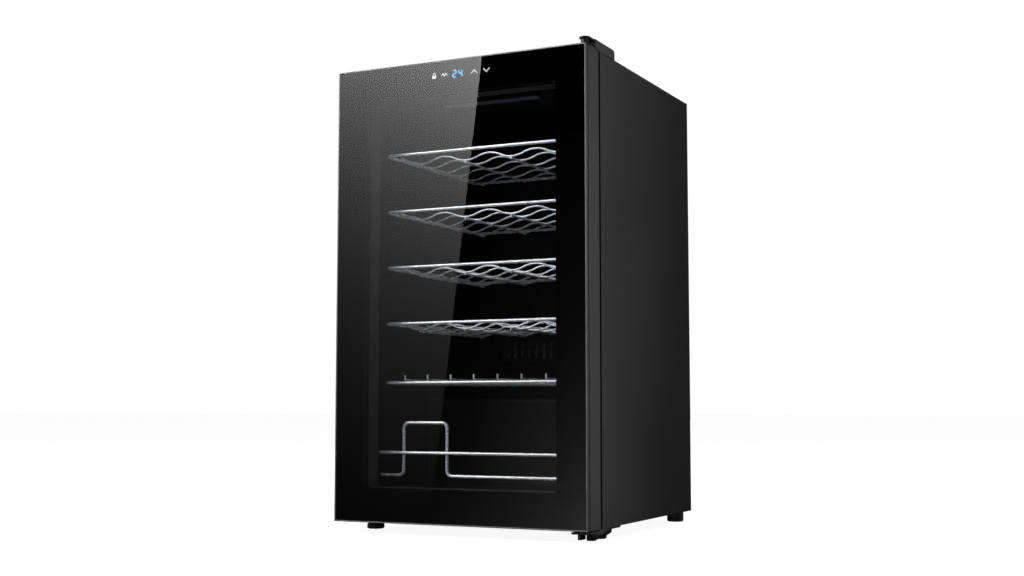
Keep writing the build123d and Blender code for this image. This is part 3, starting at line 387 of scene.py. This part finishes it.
zinc = finish(
    "galvanised_sheet", spangle,
    {"Tone": rgb(0.42, 0.43, 0.45), "Second Tone": rgb(0.56, 0.57, 0.58), "Crystal Size": 110.0,
     "Rough Low": 0.34, "Rough High": 0.5, "Relief": 0.12},
    {"Metallic": 1.0})
coat(zinc, "base_pan", "bay_panel", "hinge_nut_plates")

# ------------------------------------------------------------------ Rear panel and wall spacers
# Black coated steel sheet over the foam, with two hollow plastic stand-offs that keep the
# condenser clear of the wall.
rear_coat = finish(
    "rear_black_coat", surface_grain,
    {"Tone": rgb(0.022, 0.022, 0.023), "Second Tone": rgb(0.030, 0.030, 0.031), "Grain Size": 1100.0,
     "Patch Size": 5.0, "Rough Low": 0.42, "Rough High": 0.55, "Relief": 0.18})
coat(rear_coat, "rear_panel")
service_plastic = finish(
    "service_plastic", surface_grain,
    {"Tone": rgb(0.055, 0.055, 0.058), "Second Tone": rgb(0.072, 0.072, 0.075), "Grain Size": 1700.0,
     "Patch Size": 9.0, "Rough Low": 0.48, "Rough High": 0.6, "Relief": 0.3, "Dust": 0.5})
coat(service_plastic, "condenser_brackets")


def apply_modifiers(piece):
    """Bake a piece's modifiers into its mesh."""
    graph = bpy.context.evaluated_depsgraph_get()
    baked = bpy.data.meshes.new_from_object(piece.evaluated_get(graph))
    piece.modifiers.clear()
    piece.data = baked


def fit_piece(piece, body, material, *replaced):
    """Shade a new piece, give it its finish, and let it stand for CAD nodes on a body."""
    piece.data.materials.clear()
    piece.data.materials.append(material)
    piece.data.shade_smooth()
    piece.data.set_sharp_from_angle(angle=math.radians(32))
    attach(piece, body)
    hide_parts(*replaced)


def softened(node, radius, body, material):
    """A copy of a CAD node with its sharp edges rounded off."""
    mesh = nodes[node].data.copy()
    work = bmesh.new()
    work.from_mesh(mesh)
    bmesh.ops.remove_doubles(work, verts=work.verts, dist=1e-6)
    bmesh.ops.dissolve_limit(work, angle_limit=math.radians(1.0), verts=work.verts, edges=work.edges)
    work.to_mesh(mesh)
    work.free()
    piece = bpy.data.objects.new(f"{node}_shell", mesh)
    scene.collection.objects.link(piece)
    rounding = piece.modifiers.new("rounding", "BEVEL")
    rounding.width = radius
    rounding.segments = 2
    rounding.limit_method = "ANGLE"
    rounding.angle_limit = math.radians(40)
    apply_modifiers(piece)
    fit_piece(piece, body, material, node)


softened("wall_spacers", 0.0008, "cabinet", service_plastic)
softened("relay_cover", 0.0006, "cabinet", service_plastic)
softened("control_box", 0.0008, "cabinet", service_plastic)

# ------------------------------------------------------------------ Foam
# Polyurethane foamed in place between the sheet and the liner, and in the door. It shows
# only where a panel is off: a skinned, blistered, straw-coloured surface.
foam_skin = finish(
    "foam_skin", surface_grain,
    {"Tone": rgb(0.74, 0.62, 0.36), "Second Tone": rgb(0.86, 0.77, 0.52), "Grain Size": 260.0,
     "Patch Size": 18.0, "Rough Low": 0.75, "Rough High": 0.9, "Relief": 0.8},
    {"Specular IOR Level": 0.2})
coat(foam_skin, "insulation_foam", "door_foam")

# ------------------------------------------------------------------ Inner liner and air cover
# Black sheet plastic, vacuum formed over a mould, so that its corners are round and its
# face has a faint leathery relief.
# Its tone is darker than black plastic would be: black plastic with painted shade for the dim inside of the
# cabinet.
liner_plastic = finish(
    "liner_plastic", surface_grain,
    {"Tone": rgb(0.0040, 0.0039, 0.0056), "Second Tone": rgb(0.0054, 0.0052, 0.0072), "Grain Size": 800.0,
     "Patch Size": 6.0, "Rough Low": 0.48, "Rough High": 0.60, "Relief": 0.08},
    {"Specular IOR Level": 0.12})
coat(liner_plastic, "inner_liner", "temperature_probe")
softened("evaporator_cover", 0.0005, "cabinet", liner_plastic)
softened("light_housing", 0.0004, "cabinet", liner_plastic)

# ------------------------------------------------------------------ Fan
# Glass-filled nylon frame and rotor, moulded black and slightly glossy. The rotor is a
# hollow hub with seven curved blades that twist from root to tip.
fan_plastic = finish(
    "fan_plastic", surface_grain,
    {"Tone": rgb(0.018, 0.018, 0.019), "Second Tone": rgb(0.026, 0.026, 0.027), "Grain Size": 1500.0,
     "Patch Size": 12.0, "Rough Low": 0.3, "Rough High": 0.42, "Relief": 0.2})
coat(fan_plastic, "fan_frame")


def new_piece(name, points, faces):
    """A mesh object from points and faces."""
    mesh = bpy.data.meshes.new(name)
    mesh.from_pydata(points, [], faces)
    mesh.validate()
    piece = bpy.data.objects.new(name, mesh)
    scene.collection.objects.link(piece)
    return piece


def join_pieces(name, pieces):
    """One object from several, each left where it stands."""
    work = bmesh.new()
    for piece in pieces:
        work.from_mesh(piece.data)
        bpy.data.objects.remove(piece)
    mesh = bpy.data.meshes.new(name)
    work.to_mesh(mesh)
    work.free()
    joined = bpy.data.objects.new(name, mesh)
    scene.collection.objects.link(joined)
    return joined


def turned(name, profile, place, axis, steps=48, ribs=0, rib_depth=0.0):
    """A profile of (radius, height) points turned about an axis, with optional ribs around it."""
    turn = Vector(axis).to_track_quat("Z", "Y").to_matrix()
    points = []
    for radius, height in profile:
        for step in range(steps):
            angle = 2 * math.pi * step / steps
            rib = rib_depth * (0.5 + 0.5 * math.cos(ribs * angle)) if ribs else 0.0
            reach = max(radius - rib, 0.0)
            spot = Vector((reach * math.cos(angle), reach * math.sin(angle), height))
            points.append(Vector(place) + turn @ spot)
    faces = []
    for ring_index in range(len(profile) - 1):
        for step in range(steps):
            after = (step + 1) % steps
            base = ring_index * steps
            faces.append((base + step, base + after, base + steps + after, base + steps + step))
    faces.append(tuple(reversed(range(steps))))
    faces.append(tuple(range((len(profile) - 1) * steps, len(profile) * steps)))
    return new_piece(name, points, faces)


rotor_low, rotor_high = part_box("fan_rotor")
rotor_middle = tuple(0.5 * (low + high) for low, high in zip(rotor_low, rotor_high))
rotor_reach = 0.5 * (rotor_high[0] - rotor_low[0])
rotor_hub = 0.013
hub_hollow = 0.0115
shaft_radius = 0.004
hub_disc = 0.004
rotor_half = 0.5 * (rotor_high[1] - rotor_low[1])
blade_count = 7
blade_rows = 9
blade_columns = 8
blade_sweep = math.radians(34)
blade_thickness = 0.0012
rotor_parts = [turned(
    "rotor_hub", [(shaft_radius, rotor_half), (rotor_hub - 0.0025, rotor_half),
                  (rotor_hub - 0.0006, rotor_half - 0.0008), (rotor_hub, rotor_half - 0.003),
                  (rotor_hub, -rotor_half), (hub_hollow, -rotor_half),
                  (hub_hollow, -rotor_half + hub_disc), (shaft_radius, -rotor_half + hub_disc)],
    rotor_middle, (0, -1, 0))]
for blade in range(blade_count):
    start = 2 * math.pi * blade / blade_count
    blade_points = []
    for row in range(blade_rows):
        out = row / (blade_rows - 1)
        radius = rotor_hub - 0.0005 + (rotor_reach - rotor_hub) * out
        pitch = 0.85 - 0.30 * out
        for column in range(blade_columns):
            along = 2 * column / (blade_columns - 1) - 1
            angle = start + blade_sweep * along * (0.72 + 0.28 * out) + 0.18 * out
            lift = rotor_half * pitch * along + 0.0012 * (1 - along * along)
            blade_points.append((rotor_middle[0] + radius * math.cos(angle), rotor_middle[1] + lift,
                                 rotor_middle[2] + radius * math.sin(angle)))
    blade_faces = [
        (row * blade_columns + column, row * blade_columns + column + 1,
         (row + 1) * blade_columns + column + 1, (row + 1) * blade_columns + column)
        for row in range(blade_rows - 1) for column in range(blade_columns - 1)]
    vane = new_piece("vane", blade_points, blade_faces)
    skin = vane.modifiers.new("skin", "SOLIDIFY")
    skin.thickness = blade_thickness
    skin.offset = 0.0
    apply_modifiers(vane)
    rotor_parts.append(vane)
fit_piece(join_pieces("fan_blades", rotor_parts), "fan", fan_plastic, "fan_rotor")

# ------------------------------------------------------------------ Evaporator
# Mill-finish aluminium plate and tube behind the air cover, dulled by frost and thaw,
# with fine rolling streaks along the sheet.
drawn_metal, drawn_in, drawn_out = node_group(
    "drawn_metal",
    [("Tone", COLOUR, GREY), ("Second Tone", COLOUR, GREY), ("Streak", VECTOR, (1.0, 1.0, 1.0)),
     ("Grain Size", NUMBER, 400.0), ("Rough Low", NUMBER, 0.2), ("Rough High", NUMBER, 0.3),
     ("Relief", NUMBER, 0.1)],
    [("Colour", COLOUR), ("Roughness", NUMBER), ("Normal", VECTOR)])
place = drawn_metal.nodes.new("ShaderNodeTexCoord")
stretch = drawn_metal.nodes.new("ShaderNodeVectorMath")
stretch.operation = "MULTIPLY"
streaks = drawn_metal.nodes.new("ShaderNodeTexNoise")
streaks.inputs["Detail"].default_value = 4.0
tone_mix = drawn_metal.nodes.new("ShaderNodeMix")
tone_mix.data_type = "RGBA"
rough_range = drawn_metal.nodes.new("ShaderNodeMapRange")
rough_range.inputs["From Min"].default_value = 0.3
rough_range.inputs["From Max"].default_value = 0.7
relief = drawn_metal.nodes.new("ShaderNodeBump")
relief.inputs["Distance"].default_value = 0.0001
wire = drawn_metal.links.new
wire(place.outputs["Object"], stretch.inputs[0])
wire(drawn_in.outputs["Streak"], stretch.inputs[1])
wire(stretch.outputs[0], streaks.inputs["Vector"])
wire(drawn_in.outputs["Grain Size"], streaks.inputs["Scale"])
wire(streaks.outputs["Fac"], tone_mix.inputs["Factor"])
wire(drawn_in.outputs["Tone"], tone_mix.inputs[6])
wire(drawn_in.outputs["Second Tone"], tone_mix.inputs[7])
wire(tone_mix.outputs[2], drawn_out.inputs["Colour"])
wire(streaks.outputs["Fac"], rough_range.inputs["Value"])
wire(drawn_in.outputs["Rough Low"], rough_range.inputs["To Min"])
wire(drawn_in.outputs["Rough High"], rough_range.inputs["To Max"])
wire(rough_range.outputs[0], drawn_out.inputs["Roughness"])
wire(streaks.outputs["Fac"], relief.inputs["Height"])
wire(drawn_in.outputs["Relief"], relief.inputs["Strength"])
wire(relief.outputs["Normal"], drawn_out.inputs["Normal"])
mill_aluminium = finish(
    "mill_aluminium", drawn_metal,
    {"Tone": rgb(0.68, 0.69, 0.70), "Second Tone": rgb(0.82, 0.83, 0.84), "Streak": (0.1, 1.0, 1.0),
     "Rough Low": 0.3, "Rough High": 0.45, "Relief": 0.2},
    {"Metallic": 1.0})
coat(mill_aluminium, "evaporator_plate", "evaporator_tube")

# ------------------------------------------------------------------ Wire racks and bottle guard
# Steel wire, bent, spot welded and bright plated, with a pale baked lacquer over the
# plating, so that it shines like metal but never goes dark, and faint draw lines.
bright_plate = finish(
    "bright_plate", drawn_metal,
    {"Tone": rgb(0.84, 0.85, 0.87), "Second Tone": rgb(0.93, 0.93, 0.94), "Streak": (0.2, 0.2, 1.0),
     "Rough Low": 0.22, "Rough High": 0.30, "Relief": 0.015},
    {"Metallic": 0.45, "Coat Weight": 0.5, "Coat Roughness": 0.1})
coat(bright_plate, "wire_shelf_1", "wire_shelf_2", "wire_shelf_3", "wire_shelf_4", "wire_shelf_5",
     "bottle_guard")

# ------------------------------------------------------------------ Interior lamp
# A row of small white lamps on a smoked lens, set in the ceiling behind the door. It is
# dim, and only just shows through the glass.
def glowing(name, colour, glow, strength, rough):
    """A lit plastic."""
    return finish(
        name, surface_grain,
        {"Tone": rgb(*colour), "Second Tone": rgb(*(0.9 * part for part in colour)), "Grain Size": 600.0,
         "Patch Size": 40.0, "Rough Low": rough, "Rough High": rough + 0.1, "Relief": 0.05},
        {"Emission Strength": strength, "Emission Color": rgb(*glow)})


lens_glow = glowing("smoked_lens", (0.03, 0.03, 0.05), (0.50, 0.60, 1.0), 0.010, 0.3)
coat(lens_glow, "light_lens")
lamp_low, lamp_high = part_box("light_lens")
lamp_length = lamp_high[0] - lamp_low[0]
lamp_middle = (0.5 * (lamp_low[0] + lamp_high[0]), 0.5 * (lamp_low[1] + lamp_high[1]), lamp_low[2] - 0.002)
lamp_count = 9
dome = [(0.0021, 0.0006), (0.0017, -0.0002), (0.0010, -0.0006), (0.0003, -0.0007)]
lamp_dots = []
for number in range(lamp_count):
    dot_x = lamp_low[0] + lamp_length * (number + 0.5) / lamp_count
    dot_place = (dot_x, lamp_middle[1], lamp_low[2])
    lamp_dots.append(turned("lamp_dot", dome, dot_place, (0, 0, 1), steps=20))
lamp_pips = join_pieces("lamp_pips", lamp_dots)
lamp_pips.data.materials.append(glowing("pip_glow", (0.10, 0.11, 0.14), (0.75, 0.85, 1.0), 0.10, 0.25))
lamp_pips.data.shade_smooth()
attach(lamp_pips, "cabinet")
light_box("strip_lamp", lamp_middle, (lamp_middle[0], lamp_middle[1] + 0.02, 0.0),
          (lamp_length, 0.02), 0.12, (0.86, 0.92, 1.0))

# ------------------------------------------------------------------ Hinges
# Pressed steel brackets coated black, turned pins, plastic bushes and a moulded cover
# that hides the top screws.
hinge_coat = finish(
    "hinge_black_coat", surface_grain,
    {"Tone": rgb(0.012, 0.012, 0.012), "Second Tone": rgb(0.020, 0.020, 0.020), "Grain Size": 1300.0,
     "Patch Size": 30.0, "Rough Low": 0.34, "Rough High": 0.46, "Relief": 0.2})
softened("top_hinge_bracket", 0.0004, "cabinet", hinge_coat)
softened("bottom_hinge_bracket", 0.0005, "cabinet", hinge_coat)
turned_steel = finish(
    "turned_steel", drawn_metal,
    {"Tone": rgb(0.50, 0.50, 0.52), "Second Tone": rgb(0.66, 0.66, 0.68), "Streak": (1.0, 1.0, 0.1),
     "Rough Low": 0.22, "Rough High": 0.34, "Relief": 0.1},
    {"Metallic": 1.0})
coat(turned_steel, "hinge_pins")
cover_plastic = finish(
    "cover_plastic", surface_grain,
    {"Tone": rgb(0.085, 0.085, 0.088), "Second Tone": rgb(0.100, 0.100, 0.103), "Grain Size": 1500.0,
     "Patch Size": 14.0, "Rough Low": 0.5, "Rough High": 0.6, "Relief": 0.35})
softened("top_hinge_cover", 0.0009, "cabinet", cover_plastic)
bush_plastic = finish(
    "bush_plastic", surface_grain,
    {"Tone": rgb(0.010, 0.010, 0.010), "Second Tone": rgb(0.016, 0.016, 0.016), "Grain Size": 1500.0,
     "Patch Size": 30.0, "Rough Low": 0.35, "Rough High": 0.45, "Relief": 0.1})
coat(bush_plastic, "door_bushes")

# ------------------------------------------------------------------ Screws, nuts and bolts
# Cold-headed steel, zinc plated and blackened. The screws of the hinges and the rear
# panel have pan heads with a cross recess.
dark_fastener = finish(
    "dark_fastener", drawn_metal,
    {"Tone": rgb(0.16, 0.16, 0.17), "Second Tone": rgb(0.34, 0.34, 0.35), "Streak": (1.0, 1.0, 1.0),
     "Rough Low": 0.3, "Rough High": 0.45, "Relief": 0.2},
    {"Metallic": 1.0})
coat(dark_fastener, "foot_nuts", "compressor_bolts")


def loose_boxes(node):
    """The lowest and highest corners of each separate solid of a node."""
    work = bmesh.new()
    work.from_mesh(nodes[node].data)
    bmesh.ops.remove_doubles(work, verts=work.verts, dist=1e-6)
    waiting = set(work.verts)
    boxes = []
    while waiting:
        group = [waiting.pop()]
        corners = []
        while group:
            vertex = group.pop()
            corners.append(vertex.co.copy())
            for edge in vertex.link_edges:
                other = edge.other_vert(vertex)
                if other in waiting:
                    waiting.remove(other)
                    group.append(other)
        boxes.append((Vector(map(min, zip(*corners))), Vector(map(max, zip(*corners)))))
    work.free()
    return sorted(boxes, key=lambda box: tuple(box[0]))


def cross_head(place, axis, radius, height):
    """A pan head with a cross recess, standing on a face."""
    rim = [(radius, 0.0), (radius, 0.35 * height), (0.93 * radius, 0.66 * height),
           (0.76 * radius, 0.88 * height), (0.5 * radius, 0.98 * height), (0.2 * radius, height)]
    head = turned("head", rim, (0, 0, 0), (0, 0, 1), steps=40)
    arm = 0.62 * radius
    half_slot = 0.13 * radius
    slot_floor = 0.35 * height
    slot_top = 1.2 * height
    outline = [(arm, half_slot), (half_slot, half_slot), (half_slot, arm), (-half_slot, arm),
               (-half_slot, half_slot), (-arm, half_slot), (-arm, -half_slot), (-half_slot, -half_slot),
               (-half_slot, -arm), (half_slot, -arm), (half_slot, -half_slot), (arm, -half_slot)]
    count = len(outline)
    taper = 0.8
    points = [(x * taper, y * taper, slot_floor) for x, y in outline]
    points += [(x, y, slot_top) for x, y in outline]
    walls = [(side, (side + 1) % count, count + (side + 1) % count, count + side) for side in range(count)]
    ends = [tuple(reversed(range(count))), tuple(range(count, 2 * count))]
    driver = new_piece("driver", points, walls + ends)
    cut = head.modifiers.new("recess", "BOOLEAN")
    cut.object = driver
    cut.operation = "DIFFERENCE"
    apply_modifiers(head)
    bpy.data.objects.remove(driver)
    head.data.transform(Matrix.Translation(place) @ Vector(axis).to_track_quat("Z", "Y").to_matrix().to_4x4())
    return head


top_head_height = 0.003
bottom_head_height = 0.0025
hinge_head_radius = 0.004
cabinet_middle = 0.5 * (cad_box[0][2] + cad_box[1][2])
hinge_heads = []
for low, high in loose_boxes("hinge_screws"):
    middle = 0.5 * (low + high)
    if middle[2] > cabinet_middle:
        seat = (middle[0], middle[1], high[2] - top_head_height)
        hinge_heads.append(cross_head(seat, (0, 0, 1), hinge_head_radius, top_head_height))
    else:
        seat = (middle[0], middle[1], low[2] + bottom_head_height)
        hinge_heads.append(cross_head(seat, (0, 0, -1), hinge_head_radius, bottom_head_height))
fit_piece(join_pieces("hinge_screw_heads", hinge_heads), "cabinet", dark_fastener, "hinge_screws")
rear_head_radius = 0.0035
rear_head_height = 0.002
rear_heads = []
for low, high in loose_boxes("rear_panel_screws"):
    middle = 0.5 * (low + high)
    seat = (middle[0], high[1] - rear_head_height, middle[2])
    rear_heads.append(cross_head(seat, (0, 1, 0), rear_head_radius, rear_head_height))
fit_piece(join_pieces("rear_screw_heads", rear_heads), "cabinet", dark_fastener, "rear_panel_screws")

# ------------------------------------------------------------------ Feet
# Black moulded pads with gripping ribs, on threaded studs in front and on plain pegs at
# the back.
foot_plastic = finish(
    "foot_plastic", surface_grain,
    {"Tone": rgb(0.010, 0.010, 0.010), "Second Tone": rgb(0.018, 0.018, 0.018), "Grain Size": 1200.0,
     "Patch Size": 20.0, "Rough Low": 0.4, "Rough High": 0.55, "Relief": 0.3})
pad_radius = 0.014
pad_height = 0.009
pad_ribs = 24
pad_rib_depth = 0.0005
stud_radius = 0.004
thread_turns = 17
thread_depth = 0.0006
for foot_node, foot_body in (("left_front_foot", "left_foot"), ("right_front_foot", "right_foot")):
    foot_low, foot_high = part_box(foot_node)
    foot_place = (0.5 * (foot_low[0] + foot_high[0]), 0.5 * (foot_low[1] + foot_high[1]), 0.0)
    pad = turned("pad", [(0.002, 0.0), (pad_radius - 0.002, 0.0), (pad_radius, 0.0015),
                         (pad_radius, pad_height - 0.002), (pad_radius - 0.002, pad_height),
                         (0.0035, pad_height)],
                 foot_place, (0, 0, 1), steps=144, ribs=pad_ribs, rib_depth=pad_rib_depth)
    thread_pitch = (foot_high[2] - pad_height) / thread_turns
    thread = [(stud_radius - thread_depth * (step % 2), pad_height + 0.5 * thread_pitch * step)
              for step in range(2 * thread_turns + 1)]
    stud = turned("stud", thread, foot_place, (0, 0, 1), steps=32)
    fit_piece(join_pieces(f"{foot_node}_pad", [pad, stud]), foot_body, foot_plastic, foot_node)
rear_pads = []
for low, high in loose_boxes("rear_feet"):
    middle = 0.5 * (low + high)
    rear_pads.append(turned(
        "pad", [(0.002, 0.0), (pad_radius - 0.0016, 0.0), (pad_radius, 0.0016), (pad_radius, 0.0155),
                (pad_radius - 0.0012, 0.0168), (stud_radius, 0.0169), (stud_radius, high[2])],
        (middle[0], middle[1], 0.0), (0, 0, 1), steps=144, ribs=pad_ribs, rib_depth=pad_rib_depth))
fit_piece(join_pieces("rear_foot_pads", rear_pads), "cabinet", foot_plastic, "rear_feet")

# ------------------------------------------------------------------ Compressor
# Two drawn steel cups welded together and enamelled black, on rubber grommets, with a
# rippled weld bead round the seam. A pale moulded tray catches the drain water.
compressor_enamel = finish(
    "compressor_enamel", surface_grain,
    {"Tone": rgb(0.010, 0.010, 0.011), "Second Tone": rgb(0.017, 0.017, 0.018), "Grain Size": 700.0,
     "Patch Size": 16.0, "Rough Low": 0.22, "Rough High": 0.36, "Relief": 0.25, "Dust": 0.55},
    {"Coat Weight": 0.4, "Coat Roughness": 0.2})
coat(compressor_enamel, "compressor_shell")
pot_radius = 0.058
pot_middle = (-0.060, 0.118)
seam_height = 0.1025
bead_steps = 240
bead_size = 0.0013
bead_sides = 10
ripple_count = 60
ripple_height = 0.18
bead_points = []
for step in range(bead_steps):
    angle = 2 * math.pi * step / bead_steps
    ripple = bead_size * (1 + ripple_height * math.cos(ripple_count * angle))
    for side in range(bead_sides):
        turn = 2 * math.pi * side / bead_sides
        reach = pot_radius + 0.0004 + ripple * math.cos(turn)
        bead_points.append((pot_middle[0] + reach * math.cos(angle), pot_middle[1] + reach * math.sin(angle),
                            seam_height + ripple * math.sin(turn)))


def loop_faces(loops, sides):
    """The faces of a closed tube of loops, each with the same number of points."""
    faces = []
    for loop in range(loops):
        here = loop * sides
        there = (loop + 1) % loops * sides
        for side in range(sides):
            after = (side + 1) % sides
            faces.append((here + side, there + side, there + after, here + after))
    return faces


weld_bead = new_piece("compressor_weld_bead", bead_points, loop_faces(bead_steps, bead_sides))
weld_bead.data.materials.append(compressor_enamel)
weld_bead.data.shade_smooth()
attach(weld_bead, "cabinet")
soft_rubber = finish(
    "soft_rubber", surface_grain,
    {"Tone": rgb(0.018, 0.018, 0.018), "Second Tone": rgb(0.030, 0.030, 0.029), "Grain Size": 900.0,
     "Patch Size": 25.0, "Rough Low": 0.65, "Rough High": 0.8, "Relief": 0.3})
coat(soft_rubber, "compressor_grommets", "cord_gland")
tray_plastic = finish(
    "tray_plastic", surface_grain,
    {"Tone": rgb(0.50, 0.50, 0.49), "Second Tone": rgb(0.60, 0.60, 0.58), "Grain Size": 900.0,
     "Patch Size": 22.0, "Rough Low": 0.4, "Rough High": 0.55, "Relief": 0.2})
coat(tray_plastic, "drain_tube")
softened("drip_tray", 0.0005, "cabinet", tray_plastic)

# ------------------------------------------------------------------ Condenser and pipes
# Black enamelled steel tube with welded wires, dusty on top, and drawn copper pipe with
# uneven browning.
condenser_enamel = finish(
    "condenser_enamel", surface_grain,
    {"Tone": rgb(0.010, 0.010, 0.010), "Second Tone": rgb(0.020, 0.020, 0.020), "Grain Size": 1100.0,
     "Patch Size": 40.0, "Rough Low": 0.28, "Rough High": 0.42, "Relief": 0.2, "Dust": 0.6})
coat(condenser_enamel, "condenser_tube", "condenser_wires")
drawn_copper = finish(
    "drawn_copper", drawn_metal,
    {"Tone": rgb(0.62, 0.27, 0.15), "Second Tone": rgb(0.86, 0.46, 0.30), "Streak": (0.4, 0.4, 0.4),
     "Grain Size": 120.0, "Rough Low": 0.22, "Rough High": 0.4, "Relief": 0.1},
    {"Metallic": 1.0})
coat(drawn_copper, "refrigerant_lines", "filter_drier", "capillary_tube")

# ------------------------------------------------------------------ Door frame and trim
# Extruded and welded plastic frame, satin dark grey, with a thin brushed metal edging
# around the front pane.
# Faces of the frame that look straight forward, behind the pane, get the painted shade of the gap.
door_plastic = finish(
    "door_plastic", surface_grain,
    {"Tone": rgb(0.036, 0.036, 0.037), "Second Tone": rgb(0.042, 0.042, 0.043), "Grain Size": 1500.0,
     "Patch Size": 3.0, "Rough Low": 0.28, "Rough High": 0.34, "Relief": 0.08, "Lip Shade": 1.0})
coat(door_plastic, "door_frame")
edge_metal = finish(
    "edge_metal", drawn_metal,
    {"Tone": rgb(0.16, 0.16, 0.165), "Second Tone": rgb(0.22, 0.22, 0.225), "Streak": (1.0, 1.0, 0.05),
     "Rough Low": 0.4, "Rough High": 0.5, "Relief": 0.1},
    {"Metallic": 0.4})
softened("door_trim", 0.0004, "door", edge_metal)

# ------------------------------------------------------------------ Door panes
# Tempered float glass: a lightly tinted pane that covers the whole door, a black border
# printed on its back, a dark metal spacer and a clear inner pane.
def pane(name, tint, bend, rough):
    """Clear glass that lets shadow rays through, so that daylight reaches what is behind it."""
    material = bpy.data.materials.new(name)
    material.use_nodes = True
    tree = material.node_tree
    shader = tree.nodes["Principled BSDF"]
    shader.inputs["Base Color"].default_value = rgb(*tint)
    shader.inputs["Roughness"].default_value = rough
    shader.inputs["IOR"].default_value = bend
    shader.inputs["Transmission Weight"].default_value = 1.0
    clear = tree.nodes.new("ShaderNodeBsdfTransparent")
    clear.inputs["Color"].default_value = rgb(*tint)
    path = tree.nodes.new("ShaderNodeLightPath")
    choice = tree.nodes.new("ShaderNodeMixShader")
    output = tree.nodes["Material Output"]
    tree.links.new(path.outputs["Is Shadow Ray"], choice.inputs[0])
    tree.links.new(shader.outputs[0], choice.inputs[1])
    tree.links.new(clear.outputs[0], choice.inputs[2])
    tree.links.new(choice.outputs[0], output.inputs["Surface"])
    return material


coat(pane("front_glass", (0.90, 0.905, 0.92), 1.45, 0.0), "outer_glass")
coat(pane("rear_glass", (0.96, 0.97, 0.97), 1.05, 0.0), "inner_glass")
border_ink = finish(
    "border_ink", surface_grain,
    {"Tone": rgb(0.0012, 0.0012, 0.0012), "Second Tone": rgb(0.0018, 0.0018, 0.0018), "Grain Size": 2500.0,
     "Patch Size": 8.0, "Rough Low": 0.02, "Rough High": 0.04, "Relief": 0.0},
    {"Specular IOR Level": 0.5})
coat(border_ink, "glass_border")
# Dark metal, with its tone pushed to near black as painted shade for the dim space between the panes.
spacer_metal_and_shade = finish(
    "spacer_metal_and_shade", drawn_metal,
    {"Tone": rgb(0.004, 0.004, 0.0045), "Second Tone": rgb(0.006, 0.006, 0.0065), "Streak": (1.0, 1.0, 0.1),
     "Rough Low": 0.4, "Rough High": 0.5, "Relief": 0.1},
    {"Specular IOR Level": 0.2})
coat(spacer_metal_and_shade, "glass_spacer")

# ------------------------------------------------------------------ Gasket
# Soft black vinyl bellows, welded with mitred corners and pushed into the door frame,
# with flexible magnet strips inside.
vinyl = finish(
    "gasket_vinyl", surface_grain,
    {"Tone": rgb(0.008, 0.008, 0.008), "Second Tone": rgb(0.014, 0.014, 0.014), "Grain Size": 1200.0,
     "Patch Size": 12.0, "Rough Low": 0.5, "Rough High": 0.62, "Relief": 0.2})
gasket_low, gasket_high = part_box("door_gasket")
gasket_width = 0.020
gasket_deep = gasket_high[1] - gasket_low[1]
# Half of the section, from the root at the door to the sealing face: metres sideways, and
# the share of the depth
half_section = [(0.0100, 0.0), (0.0100, 0.10), (0.0074, 0.14), (0.0088, 0.30), (0.0099, 0.46),
                (0.0100, 0.56), (0.0088, 0.68), (0.0070, 0.74), (0.0068, 0.86), (0.0060, 0.98),
                (0.0050, 1.0)]
section = half_section + [(-side, rise) for side, rise in reversed(half_section)]
hold_x = 0.5 * (gasket_high[0] - gasket_low[0]) - 0.5 * gasket_width
hold_z = 0.5 * (gasket_high[2] - gasket_low[2]) - 0.5 * gasket_width
gasket_middle_z = 0.5 * (gasket_high[2] + gasket_low[2])
gasket_points = []
for corner_x, corner_z in ((-1, -1), (1, -1), (1, 1), (-1, 1)):
    for side, rise in section:
        gasket_points.append((corner_x * (hold_x + side), gasket_low[1] + gasket_deep * rise,
                              gasket_middle_z + corner_z * (hold_z + side)))
bellows = new_piece("gasket_bellows", gasket_points, loop_faces(4, len(section)))
fit_piece(bellows, "door", vinyl, "door_gasket")
magnet_rubber = finish(
    "magnet_rubber", surface_grain,
    {"Tone": rgb(0.06, 0.05, 0.045), "Second Tone": rgb(0.09, 0.08, 0.07), "Grain Size": 900.0,
     "Patch Size": 20.0, "Rough Low": 0.6, "Rough High": 0.75, "Relief": 0.3})
coat(magnet_rubber, "gasket_magnets")

# ------------------------------------------------------------------ Touch controls
# A circuit board behind the border. Its lamps shine through gaps in the print: blue
# digits for the set temperature and pale marks for the keys.
board_resin = finish(
    "board_resin", surface_grain,
    {"Tone": rgb(0.008, 0.07, 0.03), "Second Tone": rgb(0.012, 0.10, 0.045), "Grain Size": 1500.0,
     "Patch Size": 60.0, "Rough Low": 0.25, "Rough High": 0.4, "Relief": 0.3})
coat(board_resin, "touch_board")
coat(glowing("digit_glow", (0.02, 0.10, 0.18), (0.05, 0.52, 0.92), 1.4, 0.2), "display_digits")
coat(glowing("mark_glow", (0.3, 0.3, 0.3), (0.75, 0.75, 0.75), 0.85, 0.2), "touch_symbols")
